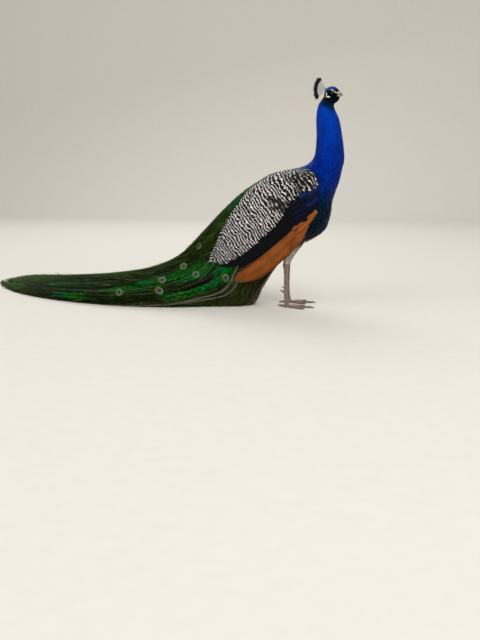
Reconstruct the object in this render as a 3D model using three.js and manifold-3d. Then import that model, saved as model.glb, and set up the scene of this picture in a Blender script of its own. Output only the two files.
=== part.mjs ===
// A life-size Indian peacock (Pavo cristatus) standing at rest, its folded train laid on the floor behind it.
//
// Millimetres, +Z up, the bird faces +X and its right side is at -Y. While it is modelled, the middle of the two
// feet is the zero point; the finished group is then moved so that its box stands centred over the origin.
// Body, wings and train share one set of section planes: each plane hangs from the back line and leans forwards
// by its dip, and a solid is a loft over some of those planes.
import * as THREE from "three";
import { mergeVertices } from "three/addons/utils/BufferGeometryUtils.js";
import Module from "manifold-3d";

const wasm = await Module();
wasm.setup();

// ---------------------------------------------------------------- driving dimensions
const GAP = 0.4; // clearance between neighbouring solids
const BODY_SIDES = 18; // facets round the neck and trunk
const FOOT_SIDE = 48; // each foot's distance from the middle plane
const HOCK = new THREE.Vector3(-4, FOOT_SIDE, 150); // ankle joint
const TOE_RADIUS = 5.6;
const HEAD_CENTRE = new THREE.Vector3(141, 0, 724);
const HEAD_TURN = -37; // degrees, to the bird's right
const HEAD_PITCH = 3; // degrees, bill down
const EYE = { x: 10, z: 3.5, side: 14.6, radius: 6.4 };
const CREST = { root: new THREE.Vector3(-26, 0, 17), feathers: 22, low: -38, high: 46, middle: 57, ends: 50 };
const SWEEP = { start: -368, length: 1015, turn: 48 }; // the train's sideways curve, turn in degrees
const TRAIN_END = -1365; // tip of the longest feathers before the curve is put in

// ---------------------------------------------------------------- colours
const skinBlue = paint(0x0a2f9c, 0.4, 0.5);
const breastBlue = paint(0x06283f, 0.45, 0.4);
const trainGreen = paint(0x1d3a12, 0.6, 0.3);
const backGreen = paint(0x1c6b36, 0.45, 0.4);
const covertGrey = paint(0xb8aa98, 0.75);
const flightBlack = paint(0x0b0c12, 0.55);
const chestnut = paint(0xa8541a, 0.6);
const tailBrown = paint(0x33201a, 0.7);
const thighBuff = paint(0xb7a78a, 0.85);
const legHorn = paint(0x8d7a70, 0.6);
const clawHorn = paint(0x3b322c, 0.4);
const billHorn = paint(0xb09a8c, 0.45);
const eyeBrown = paint(0x1c0f08, 0.1);
const crestBlue = paint(0x101a4a, 0.5, 0.3);

function paint(colour, roughness, metalness = 0) {
  return new THREE.MeshStandardMaterial({ color: colour, roughness, metalness });
}

// ---------------------------------------------------------------- solids
// A closed mesh as a manifold-3d solid, with its faces turned outwards.
function solid(geometry) {
  const bare = new THREE.BufferGeometry();
  bare.setAttribute("position", geometry.getAttribute("position"));
  if (geometry.index) bare.setIndex(geometry.index);
  const merged = mergeVertices(bare, 1e-3);
  const triVerts = new Uint32Array(merged.index.array);
  const vertProperties = new Float32Array(merged.attributes.position.array);
  const made = new wasm.Manifold(new wasm.Mesh({ numProp: 3, vertProperties, triVerts }));
  if (made.volume() >= 0) return made;
  triVerts.reverse();
  return new wasm.Manifold(new wasm.Mesh({ numProp: 3, vertProperties, triVerts }));
}

function joined(list) {
  return list.reduce((sum, next) => sum.add(next));
}

// The largest body of a solid, without the slivers that a cut can leave.
function largest(made) {
  return made.decompose().sort((a, b) => b.volume() - a.volume())[0];
}

function geometryOf(made) {
  const mesh = made.getMesh();
  const position = new Float32Array(mesh.numVert * 3);
  for (let i = 0; i < mesh.numVert; i++) {
    position.set(mesh.vertProperties.subarray(i * mesh.numProp, i * mesh.numProp + 3), i * 3);
  }
  const geometry = new THREE.BufferGeometry();
  geometry.setAttribute("position", new THREE.BufferAttribute(position, 3));
  geometry.setIndex(new THREE.BufferAttribute(new Uint32Array(mesh.triVerts), 1));
  geometry.computeVertexNormals();
  return geometry;
}

// A skin over rings of points, with a fan at each end.
function loft(rings) {
  const sides = rings[0].length;
  const points = rings.flat();
  const index = [];
  for (let r = 0; r + 1 < rings.length; r++) {
    for (let i = 0; i < sides; i++) {
      const a = r * sides + i;
      const b = r * sides + ((i + 1) % sides);
      index.push(a, b, a + sides, b, b + sides, a + sides);
    }
  }
  for (const [ring, flip] of [[0, true], [rings.length - 1, false]]) {
    const middle = new THREE.Vector3();
    rings[ring].forEach((p) => middle.addScaledVector(p, 1 / sides));
    points.push(middle);
    for (let i = 0; i < sides; i++) {
      const a = ring * sides + i;
      const b = ring * sides + ((i + 1) % sides);
      index.push(points.length - 1, flip ? b : a, flip ? a : b);
    }
  }
  const geometry = new THREE.BufferGeometry().setFromPoints(points);
  geometry.setIndex(index);
  return solid(geometry);
}

// Moves every vertex of a geometry by a function of its place.
function bend(geometry, move) {
  const position = geometry.getAttribute("position");
  const p = new THREE.Vector3();
  for (let i = 0; i < position.count; i++) {
    p.fromBufferAttribute(position, i);
    move(p);
    position.setXYZ(i, p.x, p.y, p.z);
  }
  geometry.computeVertexNormals();
  return geometry;
}

// A tapered limb along a smooth line: each station is a point with its half-thickness across and up.
function limb(stations, sides = 8, rings = stations.length, across = new THREE.Vector3(0, 1, 0)) {
  const line = new THREE.CatmullRomCurve3(stations.map((s) => s.at));
  const size = new THREE.CatmullRomCurve3(stations.map((s) => new THREE.Vector3(s.wide, s.deep, 0)));
  const made = [];
  for (let r = 0; r < rings; r++) {
    const t = r / (rings - 1);
    const centre = line.getPoint(t);
    const along = line.getTangent(t);
    const side = across.clone().addScaledVector(along, -across.dot(along)).normalize();
    const up = new THREE.Vector3().crossVectors(along, side);
    const { x: wide, y: deep } = size.getPoint(t);
    made.push(circle(sides).map(([c, s]) =>
      centre.clone().addScaledVector(side, s * wide).addScaledVector(up, c * deep)));
  }
  return loft(made);
}

function circle(sides) {
  return Array.from({ length: sides }, (_, i) => {
    const angle = (2 * Math.PI * i) / sides;
    return [Math.cos(angle), Math.sin(angle)];
  });
}

function at(x, y, z) {
  return new THREE.Vector3(x, y, z);
}

// ---------------------------------------------------------------- section planes
// x and z of the back line, and the dip of the plane that hangs from it, from the throat to the train's tip.
const PLANES = [
  [113, 716, 14], // 0 throat
  [95, 686, 5],
  [89, 645, 3],
  [91, 585, 4], // 3 middle of the neck
  [86, 524, 6],
  [68, 497, 10],
  [36, 480, 15], // 6 foot of the neck
  [-14, 469, 20],
  [-61, 455, 23], // 8 shoulders
  [-119, 420, 22],
  [-167, 386, 24], // 10 middle of the back
  [-213, 345, 30],
  [-257, 301, 36],
  [-300, 255, 42], // 13 rump
  [-343, 210, 48],
  [-390, 168, 56],
  [-454, 136, 66], // 16 the train reaches the floor
  [-542, 110, 76],
  [-680, 88, 84],
  [-840, 69, 90],
  [-1000, 51, 90], // 20
  [-1150, 36, 90],
  [-1290, 20, 90],
  [TRAIN_END, 6, 90],
];
const planeCurve = new THREE.CatmullRomCurve3(PLANES.map(([x, z, dip]) => at(x, dip, z)), false, "catmullrom");

// One closed section on the plane at position t, which counts PLANES. The section runs from inset to reach along
// the plane, is half wide at the share mid of that way, and stays above the floor.
function section(t, { inset, reach, half, mid = 0.5 }, grow, sides) {
  const { x, y: dip, z } = planeCurve.getPoint(t / (PLANES.length - 1));
  const angle = THREE.MathUtils.degToRad(dip);
  const down = at(Math.cos(angle), 0, -Math.sin(angle));
  const long = reach - inset + 2 * grow;
  const centre = at(x, 0, z).addScaledVector(down, inset - grow + long * mid);
  return circle(sides).map(([c, s]) => {
    const p = centre.clone().addScaledVector(down, -c * long * (c > 0 ? mid : 1 - mid));
    p.y = s * (half + grow);
    p.z = Math.max(p.z, 0);
    return p;
  });
}

// A loft over the planes from first on, one size row for each plane, with steps rings between planes.
function bodyLoft(first, sizes, { grow = 0, sides = BODY_SIDES, steps = 1, until = sizes.length - 1 } = {}) {
  const reach = new THREE.CatmullRomCurve3(sizes.map(([inset, far, half]) => at(inset, far, half)), false, "catmullrom");
  const mids = new THREE.CatmullRomCurve3(sizes.map(([, , , mid = 0.5]) => at(mid, 0, 0)), false, "catmullrom");
  const rings = [];
  for (let k = 0; k <= until * steps; k++) {
    const t = k / steps / (sizes.length - 1);
    const size = reach.getPoint(t);
    rings.push(section(first + k / steps, {
      inset: size.x, reach: size.y, half: Math.max(size.z, 2), mid: mids.getPoint(t).x,
    }, grow, sides));
  }
  return loft(rings);
}

// ---------------------------------------------------------------- body
// [inset, reach, half-width] on the planes from the throat to the tail's root.
const BODY = [
  [0, 38, 20], [0, 53, 26], [0, 77, 34], [0, 88, 38], [0, 101, 43], [0, 114, 50],
  [0, 142, 59], [0, 186, 72], [0, 228, 82], [3, 282, 87, 0.52], [8, 310, 88, 0.52],
  [14, 268, 84], [22, 224, 74], [30, 170, 58], [36, 124, 42], [44, 92, 24],
];
const NECK_PLANE = 6;
const RUMP_PLANE = 11;

function body(grow = 0) {
  return bodyLoft(0, BODY, { grow, steps: 1 });
}

// The part of a solid on the head's side (+1) or the tail's side (-1) of a section plane, GAP / 2 away from it.
function beside(made, plane, side) {
  const [x, z, dip] = PLANES[plane];
  const angle = THREE.MathUtils.degToRad(dip);
  const normal = [side * Math.sin(angle), 0, side * Math.cos(angle)];
  return made.trimByPlane(normal, normal[0] * x + normal[2] * z + GAP / 2);
}

// ---------------------------------------------------------------- wings
// The folded wings lie on one rounded form round the body, on the planes from the foot of the neck backwards.
const WING_FORM = [
  [-2, 160, 60], [-4, 205, 73], [-6, 252, 89], [-7, 300, 99], [-7, 330, 103], [-6, 345, 104],
  [-4, 350, 103], [-2, 345, 99], [1, 330, 93], [4, 305, 86], [7, 280, 78],
];
const WING_FIRST = 5;

function wingForm(grow) {
  return bodyLoft(WING_FIRST, WING_FORM, { grow, sides: 18 });
}

// A side outline as a prism that reaches from the middle plane out past the right wing.
function prism(points, grow = 0) {
  const shape = new THREE.Shape(points);
  const depth = 200;
  const geometry = new THREE.ExtrudeGeometry(shape, { depth, bevelEnabled: false });
  // the outline's x and y become the bird's x and z, and the depth runs to -Y
  geometry.applyMatrix4(new THREE.Matrix4().makeBasis(at(1, 0, 0), at(0, 0, 1), at(0, -1, 0)));
  geometry.computeBoundingBox();
  const middle = geometry.boundingBox.getCenter(at(0, 0, 0));
  const size = geometry.boundingBox.getSize(at(0, 0, 0));
  const stretch = [(size.x + 2 * grow) / size.x, 1, (size.z + 2 * grow) / size.z];
  geometry.translate(-middle.x, 0, -middle.z).scale(...stretch).translate(middle.x, 0, middle.z);
  return solid(geometry);
}

function spline(list) {
  return new THREE.SplineCurve(list.map(([x, z]) => new THREE.Vector2(x, z)));
}

// Side outlines of the three layers of the folded wing: an upper and a lower edge, both from front to back.
const COVERTS = {
  upper: [[100, 442], [84, 466], [40, 471], [-12, 462], [-58, 442], [-108, 402], [-156, 348], [-200, 288], [-240, 220], [-268, 160]],
  lower: [[100, 442], [98, 412], [74, 394], [30, 380], [0, 356], [-30, 304], [-70, 262], [-120, 218], [-180, 178], [-268, 160]],
};
const SECONDARIES = {
  upper: [[98, 420], [40, 420], [-60, 340], [-150, 250], [-246, 160]],
  lower: [[92, 342], [56, 304], [12, 262], [-50, 213], [-130, 163], [-232, 142]],
};
const PRIMARIES = {
  upper: [[96, 340], [50, 306], [-40, 228], [-120, 160], [-190, 112]],
  lower: [[101, 326], [78, 288], [40, 220], [-16, 165], [-90, 106], [-186, 76]],
};

// The strip of a wing layer between the shares from and to of its depth, ending in a rounded feather tip.
function feather(layer, from, to, start, end, tip) {
  const count = 4;
  const upper = spline(layer.upper);
  const lower = spline(layer.lower);
  const between = (t, share) => lower.getPoint(t).lerp(upper.getPoint(t), share);
  const edge = (share) => Array.from({ length: count + 1 }, (_, i) => between(start + ((end - start) * i) / count, share));
  const low = edge(from);
  const high = edge(to);
  const out = between(end, (from + to) / 2);
  const back = between(end - 0.02, (from + to) / 2);
  const point = out.clone().add(out.clone().sub(back).setLength(tip));
  return [...low, point, ...high.reverse()];
}

// Flight feathers: strips that overlap like tiles, each a little further out than the one below it.
function flight(layer, { count, inner, outer, step, ends, tip }) {
  const parts = [];
  for (let i = 0; i < count; i++) {
    const from = Math.max(i / count - 0.06, 0);
    const out = outer - step * (count - 1 - i);
    const outline = feather(layer, from, (i + 1) / count, 0, ends(i / (count - 1)), tip);
    parts.push(prism(outline).intersect(wingForm(out)));
  }
  return joined(parts).subtract(wingForm(inner));
}

function primaries() {
  return flight(PRIMARIES, { count: 6, inner: -11, outer: -6, step: 0.6, ends: (u) => 0.93 + 0.06 * Math.sin(3 * u), tip: 12 });
}

function secondaries() {
  return flight(SECONDARIES, { count: 4, inner: -5.5, outer: -1.4, step: 0.7, ends: (u) => 0.9 + 0.06 * u, tip: 10 });
}

// The barred shield: rows of rounded feathers, each row lying on the one behind it.
const COVERT_ROWS = 4;
const COVERT_SCALLOPS = 3;

function coverts() {
  const upper = spline(COVERTS.upper);
  const lower = spline(COVERTS.lower);
  const parts = [];
  for (let row = 0; row < COVERT_ROWS; row++) {
    const end = 0.995 - 0.2 * (COVERT_ROWS - 1 - row);
    const start = row === 0 ? 0.004 : end - 0.26;
    const samples = 4;
    const low = Array.from({ length: samples }, (_, i) => lower.getPoint(start + ((end - start) * i) / (samples - 1)));
    const high = Array.from({ length: samples }, (_, i) => upper.getPoint(start + ((end - start) * i) / (samples - 1)));
    const scallops = row === COVERT_ROWS - 1 ? 0 : COVERT_SCALLOPS;
    const fringe = [];
    for (let i = 1; i < 3 * scallops; i++) {
      const share = i / (3 * scallops);
      const tip = 0.03 * Math.abs(Math.sin(Math.PI * share * scallops));
      fringe.push(lower.getPoint(end + tip).lerp(upper.getPoint(end + tip), share));
    }
    const out = 1.5 + 0.9 * (COVERT_ROWS - 1 - row);
    parts.push(prism([...low, ...fringe, ...high.reverse()]).intersect(wingForm(out)));
  }
  return joined(parts).subtract(wingForm(-1));
}

// What a wing layer needs free round it: all outside its inner face within a slightly larger outline.
function wingRoom(layer, inner, margin) {
  const outline = [...spline(layer.lower).getPoints(6), ...spline(layer.upper).getPoints(6).reverse()];
  return prism(outline, margin).subtract(wingForm(inner - GAP));
}

// ---------------------------------------------------------------- train and tail
const TRAIN_FIRST = 9;
const TRAIN = [
  [6, 120, 46], [2, 190, 62], [0, 228, 70], [0, 262, 73], [0, 284, 78], [0, 302, 88, 0.52],
  [0, 228, 104, 0.58], [0, 178, 124, 0.62], [0, 142, 138, 0.62], [0, 115, 146, 0.62], [0, 93, 144, 0.62],
  [0, 72, 126, 0.62], [0, 53, 94, 0.62], [0, 32, 54, 0.62], [0, 12, 12, 0.62],
];
const TRAIN_CUTS = [-420, -860]; // x of the cuts between the train's lengths, before the curve

// Carries a point of the straight train into its sideways curve on the floor.
function sweep(p) {
  const past = SWEEP.start - p.x;
  if (past <= 0) return p;
  const turn = THREE.MathUtils.degToRad(SWEEP.turn);
  const pace = Math.PI / 2 / SWEEP.length;
  const heading = (s) => turn * Math.sin(pace * Math.min(s, SWEEP.length));
  const steps = 40;
  let x = SWEEP.start;
  let y = 0;
  for (let i = 0; i < steps; i++) {
    const h = heading((past * (i + 0.5)) / steps);
    x -= (Math.cos(h) * past) / steps;
    y += (Math.sin(h) * past) / steps;
  }
  const h = heading(past);
  return p.set(x + p.y * Math.sin(h), y + p.y * Math.cos(h), p.z);
}

// One long train feather as a thin blade: a narrow stem that widens to the round eye near its tip.
function blade({ root, tip, side, tipSide, rise, width }) {
  const thick = 1.5;
  const shares = [0, 0.5, 0.78, 0.92, 1];
  const widths = [0.3, 0.6, 1, 0.86, 0.12];
  return limb(shares.map((share, i) => ({
    at: at(root + (tip - root) * share, side + (tipSide - side) * share ** 1.3, Math.max(thick, rise * (1 - share) ** 2)),
    wide: (width / 2) * widths[i],
    deep: thick,
  })), 4);
}

// Feathers that end past the core: fans of blades to both sides of the middle, the longest in the middle.
function longFeathers() {
  const made = [];
  const fans = [
    { count: 7, root: -1060, tip: -1360, side: 50, tipSide: 104, drop: 120, width: 34, rise: 16 },
    { count: 6, root: -900, tip: -1215, side: 92, tipSide: 150, drop: 130, width: 34, rise: 26 },
    { count: 6, root: -700, tip: -1010, side: 112, tipSide: 184, drop: 110, width: 32, rise: 32 },
  ];
  for (const fan of fans) {
    for (let i = 0; i < fan.count; i++) {
      const u = (2 * i) / (fan.count - 1) - 1;
      made.push(blade({
        root: fan.root, side: fan.side * u, tipSide: fan.tipSide * u,
        tip: fan.tip + fan.drop * u * u, rise: fan.rise, width: fan.width,
      }));
    }
  }
  for (const side of [-1, 1]) {
    for (let i = 0; i < 4; i++) {
      const root = -440 - 100 * i;
      made.push(blade({
        root, side: side * (104 + 7 * i), tipSide: side * (158 + 9 * i), tip: root - 250, rise: 34, width: 32,
      }));
    }
  }
  return made;
}

function tail(grow = 0) {
  const half = 3.2 + grow;
  return limb([
    { at: at(-22, 0, 176 + grow), wide: 34 + grow, deep: half },
    { at: at(-62, 0, 124), wide: 50 + grow, deep: half },
    { at: at(-98, 0, 72), wide: 58 + grow, deep: half },
    { at: at(-122, 0, 30 - grow), wide: 54 + grow, deep: half - 1 },
  ], 12, 6);
}

// ---------------------------------------------------------------- legs
function thigh(grow = 0) {
  const y = -FOOT_SIDE;
  return limb([
    { at: at(30, y - 2, 262), wide: 28, deep: 40 },
    { at: at(20, y - 2, 232), wide: 26, deep: 33 },
    { at: at(10, y - 1, 203), wide: 20, deep: 23 },
    { at: at(2, y, 178), wide: 13, deep: 15 },
    { at: at(-3, y, HOCK.z + 8 - grow), wide: 9.5, deep: 10 },
  ].map((s) => ({ ...s, wide: s.wide + grow, deep: s.deep + grow })), 12, 7);
}

function shank() {
  const y = -FOOT_SIDE;
  const top = HOCK.z + 8 - GAP;
  return limb([
    { at: at(-3, y, top), wide: 8, deep: 8.5 },
    { at: at(HOCK.x - 2, y, HOCK.z - 2), wide: 9, deep: 10 },
    { at: at(HOCK.x - 1, y, 132), wide: 7.2, deep: 7.6 },
    { at: at(-5, y, 96), wide: 5.8, deep: 6.4 },
    { at: at(-5, y, 56), wide: 5.6, deep: 6 },
    { at: at(-3, y, 26), wide: 6.6, deep: 6.6 },
    { at: at(1, y, -2), wide: 8.5, deep: 9 },
  ], 9, 8);
}

// [direction in degrees from straight ahead, length, height of the tip's middle]
const TOES = { inner: [26, 56, 3.2], middle: [-3, 82, 3.2], outer: [-34, 62, 3.2], back: [160, 24, 5] };
const CLAW = { length: 15, radius: 2.7 };

function toeLine([angle, length, tip]) {
  const a = THREE.MathUtils.degToRad(angle);
  const place = (along, z) => at(along * Math.cos(a), -FOOT_SIDE + along * Math.sin(a), z);
  return { place, length, tip, side: at(-Math.sin(a), Math.cos(a), 0) };
}

function toe(name) {
  const { place, length, tip, side } = toeLine(TOES[name]);
  const knuckles = name === "back" ? 1 : 2;
  const rings = name === "back" ? 3 : 5;
  const stations = Array.from({ length: rings }, (_, i) => {
    const share = i / (rings - 1);
    const swell = 1 + 0.1 * Math.cos(2 * Math.PI * knuckles * share);
    const radius = THREE.MathUtils.lerp(TOE_RADIUS, 3.6, share) * swell;
    return { at: place(length * share, THREE.MathUtils.lerp(4.8, tip, share)), wide: radius, deep: radius };
  });
  return limb(stations, 6, rings, side);
}

function claw(name) {
  const { place, length, tip, side } = toeLine(TOES[name]);
  const { length: long, radius } = CLAW;
  return limb([
    { at: place(length + GAP, tip), wide: radius, deep: radius },
    { at: place(length + long * 0.4, tip + 0.6), wide: radius * 0.8, deep: radius * 0.9 },
    { at: place(length + long * 0.75, tip - 0.6), wide: radius * 0.5, deep: radius * 0.6 },
    { at: place(length + long, 0.9), wide: 0.5, deep: 0.6 },
  ], 5, 4, side);
}

// Sets whatever reaches below the floor flat on it.
function flattened(made) {
  return made.trimByPlane([0, 0, 1], 0);
}

function spur(grow = 0) {
  return limb([
    { at: at(-8 + 1.8 * grow, 3 - 0.8 * grow - FOOT_SIDE, 52 - 0.6 * grow), wide: 3.6, deep: 4.2 },
    { at: at(-17, 7 - FOOT_SIDE, 55), wide: 2.6, deep: 3 },
    { at: at(-26, 10 - FOOT_SIDE, 60), wide: 0.6, deep: 0.7 },
  ].map((s) => ({ ...s, wide: s.wide + grow, deep: s.deep + grow })), 7, 4);
}

// ---------------------------------------------------------------- head, in its own frame: skull's middle, bill to +X
// [x, lowest z, highest z, half-width]
const SKULL = [
  [-27, -12, 10, 6], [-24, -22, 17, 13], [-16, -27, 23, 17], [-4, -29, 25.5, 18.5], [7, -30, 24.5, 17.6],
  [16, -27.5, 20.5, 14.6], [23, -23.5, 16, 10.6], [28, -17, 12, 7.6], [31.5, -11.5, 9.8, 5.4],
];
const UPPER_BILL = [
  [20, -1, 9.8, 9.8], [27, -1.2, 9.8, 8], [33, -1.6, 8.6, 6.2], [37, -2.4, 6.2, 4.6], [40.5, -4, 2.8, 3],
  [43, -6.5, -1.4, 1.4], [43.8, -7.6, -5.2, 0.7],
];
const LOWER_BILL = [
  [20, -9.4, -1.5, 8.4], [27, -9, -1.7, 6.8], [33, -8.2, -2.1, 5], [37, -7.4, -2.9, 3.6], [39.5, -6.8, -4.6, 1.8],
];

function headLoft(rows, sides, steps, grow = 0) {
  const line = new THREE.CatmullRomCurve3(rows.map(([x, low, high]) => at(x, low, high)));
  const widths = new THREE.CatmullRomCurve3(rows.map(([, , , half]) => at(half, 0, 0)));
  const count = (rows.length - 1) * steps;
  const rings = [];
  for (let k = 0; k <= count; k++) {
    const { x, y: low, z: high } = line.getPoint(k / count);
    const half = widths.getPoint(k / count).x + grow;
    rings.push(circle(sides).map(([c, s]) =>
      at(x + grow * (2 * (k / count) - 1), s * half, (low + high) / 2 + c * ((high - low) / 2 + grow))));
  }
  return loft(rings);
}

function eyeball(grow = 0) {
  const ball = new THREE.SphereGeometry(EYE.radius + grow, 10, 7);
  ball.rotateX(Math.PI / 2).translate(EYE.x, -EYE.side + 2, EYE.z);
  return solid(ball);
}

// The fan of crest feathers, joined by a small pad on the crown.
function crest() {
  const { root, feathers, low, high, middle, ends } = CREST;
  const pad = new THREE.SphereGeometry(5.2, 8, 6).scale(1, 0.8, 0.8).translate(root.x - 3, root.y, root.z + 3);
  const made = [solid(pad)];
  for (let i = 0; i < feathers; i++) {
    const share = i / (feathers - 1);
    const angle = THREE.MathUtils.degToRad(180 - THREE.MathUtils.lerp(low, high, share));
    const lean = THREE.MathUtils.degToRad(i % 2 ? 6 : -6);
    const long = middle - (middle - ends) * (2 * share - 1) ** 2;
    const way = at(Math.cos(angle) * Math.cos(lean), Math.sin(lean), Math.sin(angle) * Math.cos(lean));
    const flat = at(-Math.sin(angle), 0, Math.cos(angle));
    const station = (far, wide, deep) => ({ at: root.clone().addScaledVector(way, far), wide, deep });
    made.push(limb([
      station(2, 0.6, 0.6), station(long - 15, 0.6, 0.6), station(long - 4, 3, 1), station(long, 1, 0.5),
    ], 4, 4, flat));
  }
  return joined(made);
}

// ---------------------------------------------------------------- assembly
const peacock = new THREE.Group();

function place(name, made, material, parent = peacock) {
  const mesh = new THREE.Mesh(made.isBufferGeometry ? made : geometryOf(made), material);
  mesh.name = name;
  parent.add(mesh);
  return mesh;
}

// A right-hand piece and its mirror image on the left.
function pair(name, made, material, parent = peacock) {
  const geometry = geometryOf(made);
  place(name + "_right", geometry, material, parent);
  place(name + "_left", geometry, material, parent).scale.y = -1;
}

const head = new THREE.Group();
head.position.copy(HEAD_CENTRE);
head.rotation.set(0, THREE.MathUtils.degToRad(HEAD_PITCH), THREE.MathUtils.degToRad(HEAD_TURN), "ZYX");
peacock.add(head);
head.updateMatrix();

// The skull in the bird's own frame, for cutting the neck to it.
function skullInPlace(grow) {
  const geometry = geometryOf(headLoft(SKULL, 16, 1, grow));
  return solid(geometry.applyMatrix4(head.matrix));
}

function mirrored(made) {
  const geometry = geometryOf(made).scale(1, -1, 1);
  return solid(geometry);
}

const wholeBody = body();
const grownBody = body(GAP);
const clearOfBody = grownBody.add(mirrored(grownBody));
const thighRight = thigh().subtract(clearOfBody);
const neck = beside(wholeBody, NECK_PLANE, 1).subtract(skullInPlace(GAP));
place("neck", largest(neck), skinBlue);
place("trunk", largest(beside(beside(wholeBody, NECK_PLANE, -1), RUMP_PLANE, 1)), breastBlue);
place("rump", largest(beside(wholeBody, RUMP_PLANE, -1)), backGreen);
pair("thigh", largest(thighRight), thighBuff);

const skull = headLoft(SKULL, 16, 1)
  .subtract(eyeball(GAP))
  .subtract(mirrored(eyeball(GAP)))
  .subtract(headLoft(UPPER_BILL, 10, 1, GAP))
  .subtract(headLoft(LOWER_BILL, 8, 1, GAP));
const crown = crest();
place("head", largest(skull), skinBlue, head);
place("bill_upper", headLoft(UPPER_BILL, 10, 1), billHorn, head);
place("bill_lower", headLoft(LOWER_BILL, 8, 1), billHorn, head);
pair("eye", eyeball(), eyeBrown, head);
place("crest", largest(crown.subtract(headLoft(SKULL, 16, 1, GAP))), crestBlue, head);

pair("wing_coverts", largest(coverts().subtract(clearOfBody)), covertGrey);
pair("wing_secondaries", largest(secondaries().subtract(clearOfBody)), flightBlack);
pair("wing_primaries", largest(primaries().subtract(clearOfBody).subtract(thigh(GAP))), chestnut);

const room = joined([wingRoom(COVERTS, -1, 4), wingRoom(SECONDARIES, -5.5, 10), wingRoom(PRIMARIES, -11, 14)]);
place("tail", largest(tail().subtract(clearOfBody)), tailBrown);
const core = bodyLoft(TRAIN_FIRST, TRAIN, { sides: 16 });
const train = flattened(joined([core, ...longFeathers()]))
  .subtract(clearOfBody)
  .subtract(room)
  .subtract(mirrored(room))
  .subtract(tail(GAP));
const [firstCut, secondCut] = TRAIN_CUTS;
const lengths = {
  train_root: train.trimByPlane([1, 0, 0], firstCut + GAP / 2),
  train_middle: train.trimByPlane([-1, 0, 0], -firstCut + GAP / 2).trimByPlane([1, 0, 0], secondCut + GAP / 2),
  train_end: train.trimByPlane([-1, 0, 0], -secondCut + GAP / 2),
};
for (const [name, made] of Object.entries(lengths)) {
  place(name, bend(geometryOf(largest(made)), sweep), trainGreen);
}

const foot = flattened(joined([shank(), ...Object.keys(TOES).map(toe)])).subtract(spur(GAP)).subtract(thigh(GAP));
pair("leg", largest(foot), legHorn);
pair("spur", spur(), clawHorn);
for (const name of Object.keys(TOES)) {
  pair("claw_" + name, flattened(claw(name)), clawHorn);
}

// The box of the whole bird stands centred over the origin.
peacock.updateMatrixWorld(true);
const box = new THREE.Box3().setFromObject(peacock, true);
peacock.position.set(-(box.min.x + box.max.x) / 2, -(box.min.y + box.max.y) / 2, -box.min.z);

export default peacock;
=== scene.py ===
"""The looks of a life-size peacock: skin, plumage, train, bill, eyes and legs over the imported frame.

Shapes are worked out in millimetres in the bird's own frame: the middle of the feet is the zero point, +X
is forwards, the right side is at -Y and +Z is up. They are moved into the row frame, in metres, as they are
made.
"""
import math

import bpy
import numpy as np
from bpy.props import FloatProperty, FloatVectorProperty, PointerProperty
from mathutils import Matrix, Vector
from mathutils.bvhtree import BVHTree


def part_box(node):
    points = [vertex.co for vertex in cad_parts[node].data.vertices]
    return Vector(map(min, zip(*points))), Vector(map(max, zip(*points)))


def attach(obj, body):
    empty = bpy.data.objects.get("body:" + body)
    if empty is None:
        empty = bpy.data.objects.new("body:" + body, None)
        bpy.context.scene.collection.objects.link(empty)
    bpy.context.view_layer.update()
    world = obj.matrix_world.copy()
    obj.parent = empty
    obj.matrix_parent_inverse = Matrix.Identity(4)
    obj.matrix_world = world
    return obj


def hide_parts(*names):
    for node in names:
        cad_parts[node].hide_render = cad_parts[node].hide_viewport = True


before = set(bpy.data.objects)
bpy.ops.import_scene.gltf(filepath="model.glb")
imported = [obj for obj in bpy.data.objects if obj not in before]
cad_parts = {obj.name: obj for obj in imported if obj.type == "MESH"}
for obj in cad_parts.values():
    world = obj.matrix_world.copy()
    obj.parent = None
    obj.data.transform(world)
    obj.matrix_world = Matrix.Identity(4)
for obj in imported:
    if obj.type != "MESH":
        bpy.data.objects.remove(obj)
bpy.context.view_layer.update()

bl_info = {
    "name": "Peacock",
    "version": (1, 0, 0),
    "blender": (4, 5, 0),
    "location": "View3D > Sidebar > Peacock",
    "description": "Builds the plumage and bare parts of a standing peacock over its frame",
    "category": "Add Mesh",
}

MM = 0.001
PI = math.pi
VANE_MM = 100  # millimetres in one unit of the map Vane
PATCH = .003  # width of one feather's patch in the map OFBake
MAP_PLANES = 25  # section planes over the height of the map OFBake
LOWEST = .2  # nothing of the bird comes closer to the floor than this

# ------------------------------------------------------------------ the bird's form
# Section planes shared by neck, body, wings and train: place of the back line (x, z) and dip in degrees.
PLANES = np.array([
    (113, 716, 14), (95, 686, 5), (89, 645, 3), (91, 585, 4), (86, 524, 6), (68, 497, 10),
    (36, 480, 15), (-14, 469, 20), (-61, 455, 23), (-119, 420, 22), (-167, 386, 24), (-213, 345, 30),
    (-257, 301, 36), (-300, 255, 42), (-343, 210, 48), (-390, 168, 56), (-454, 136, 66), (-542, 110, 76),
    (-680, 88, 84), (-840, 69, 90), (-1000, 51, 90), (-1150, 36, 90), (-1290, 20, 90), (-1365, 6, 90),
], float)
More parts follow.
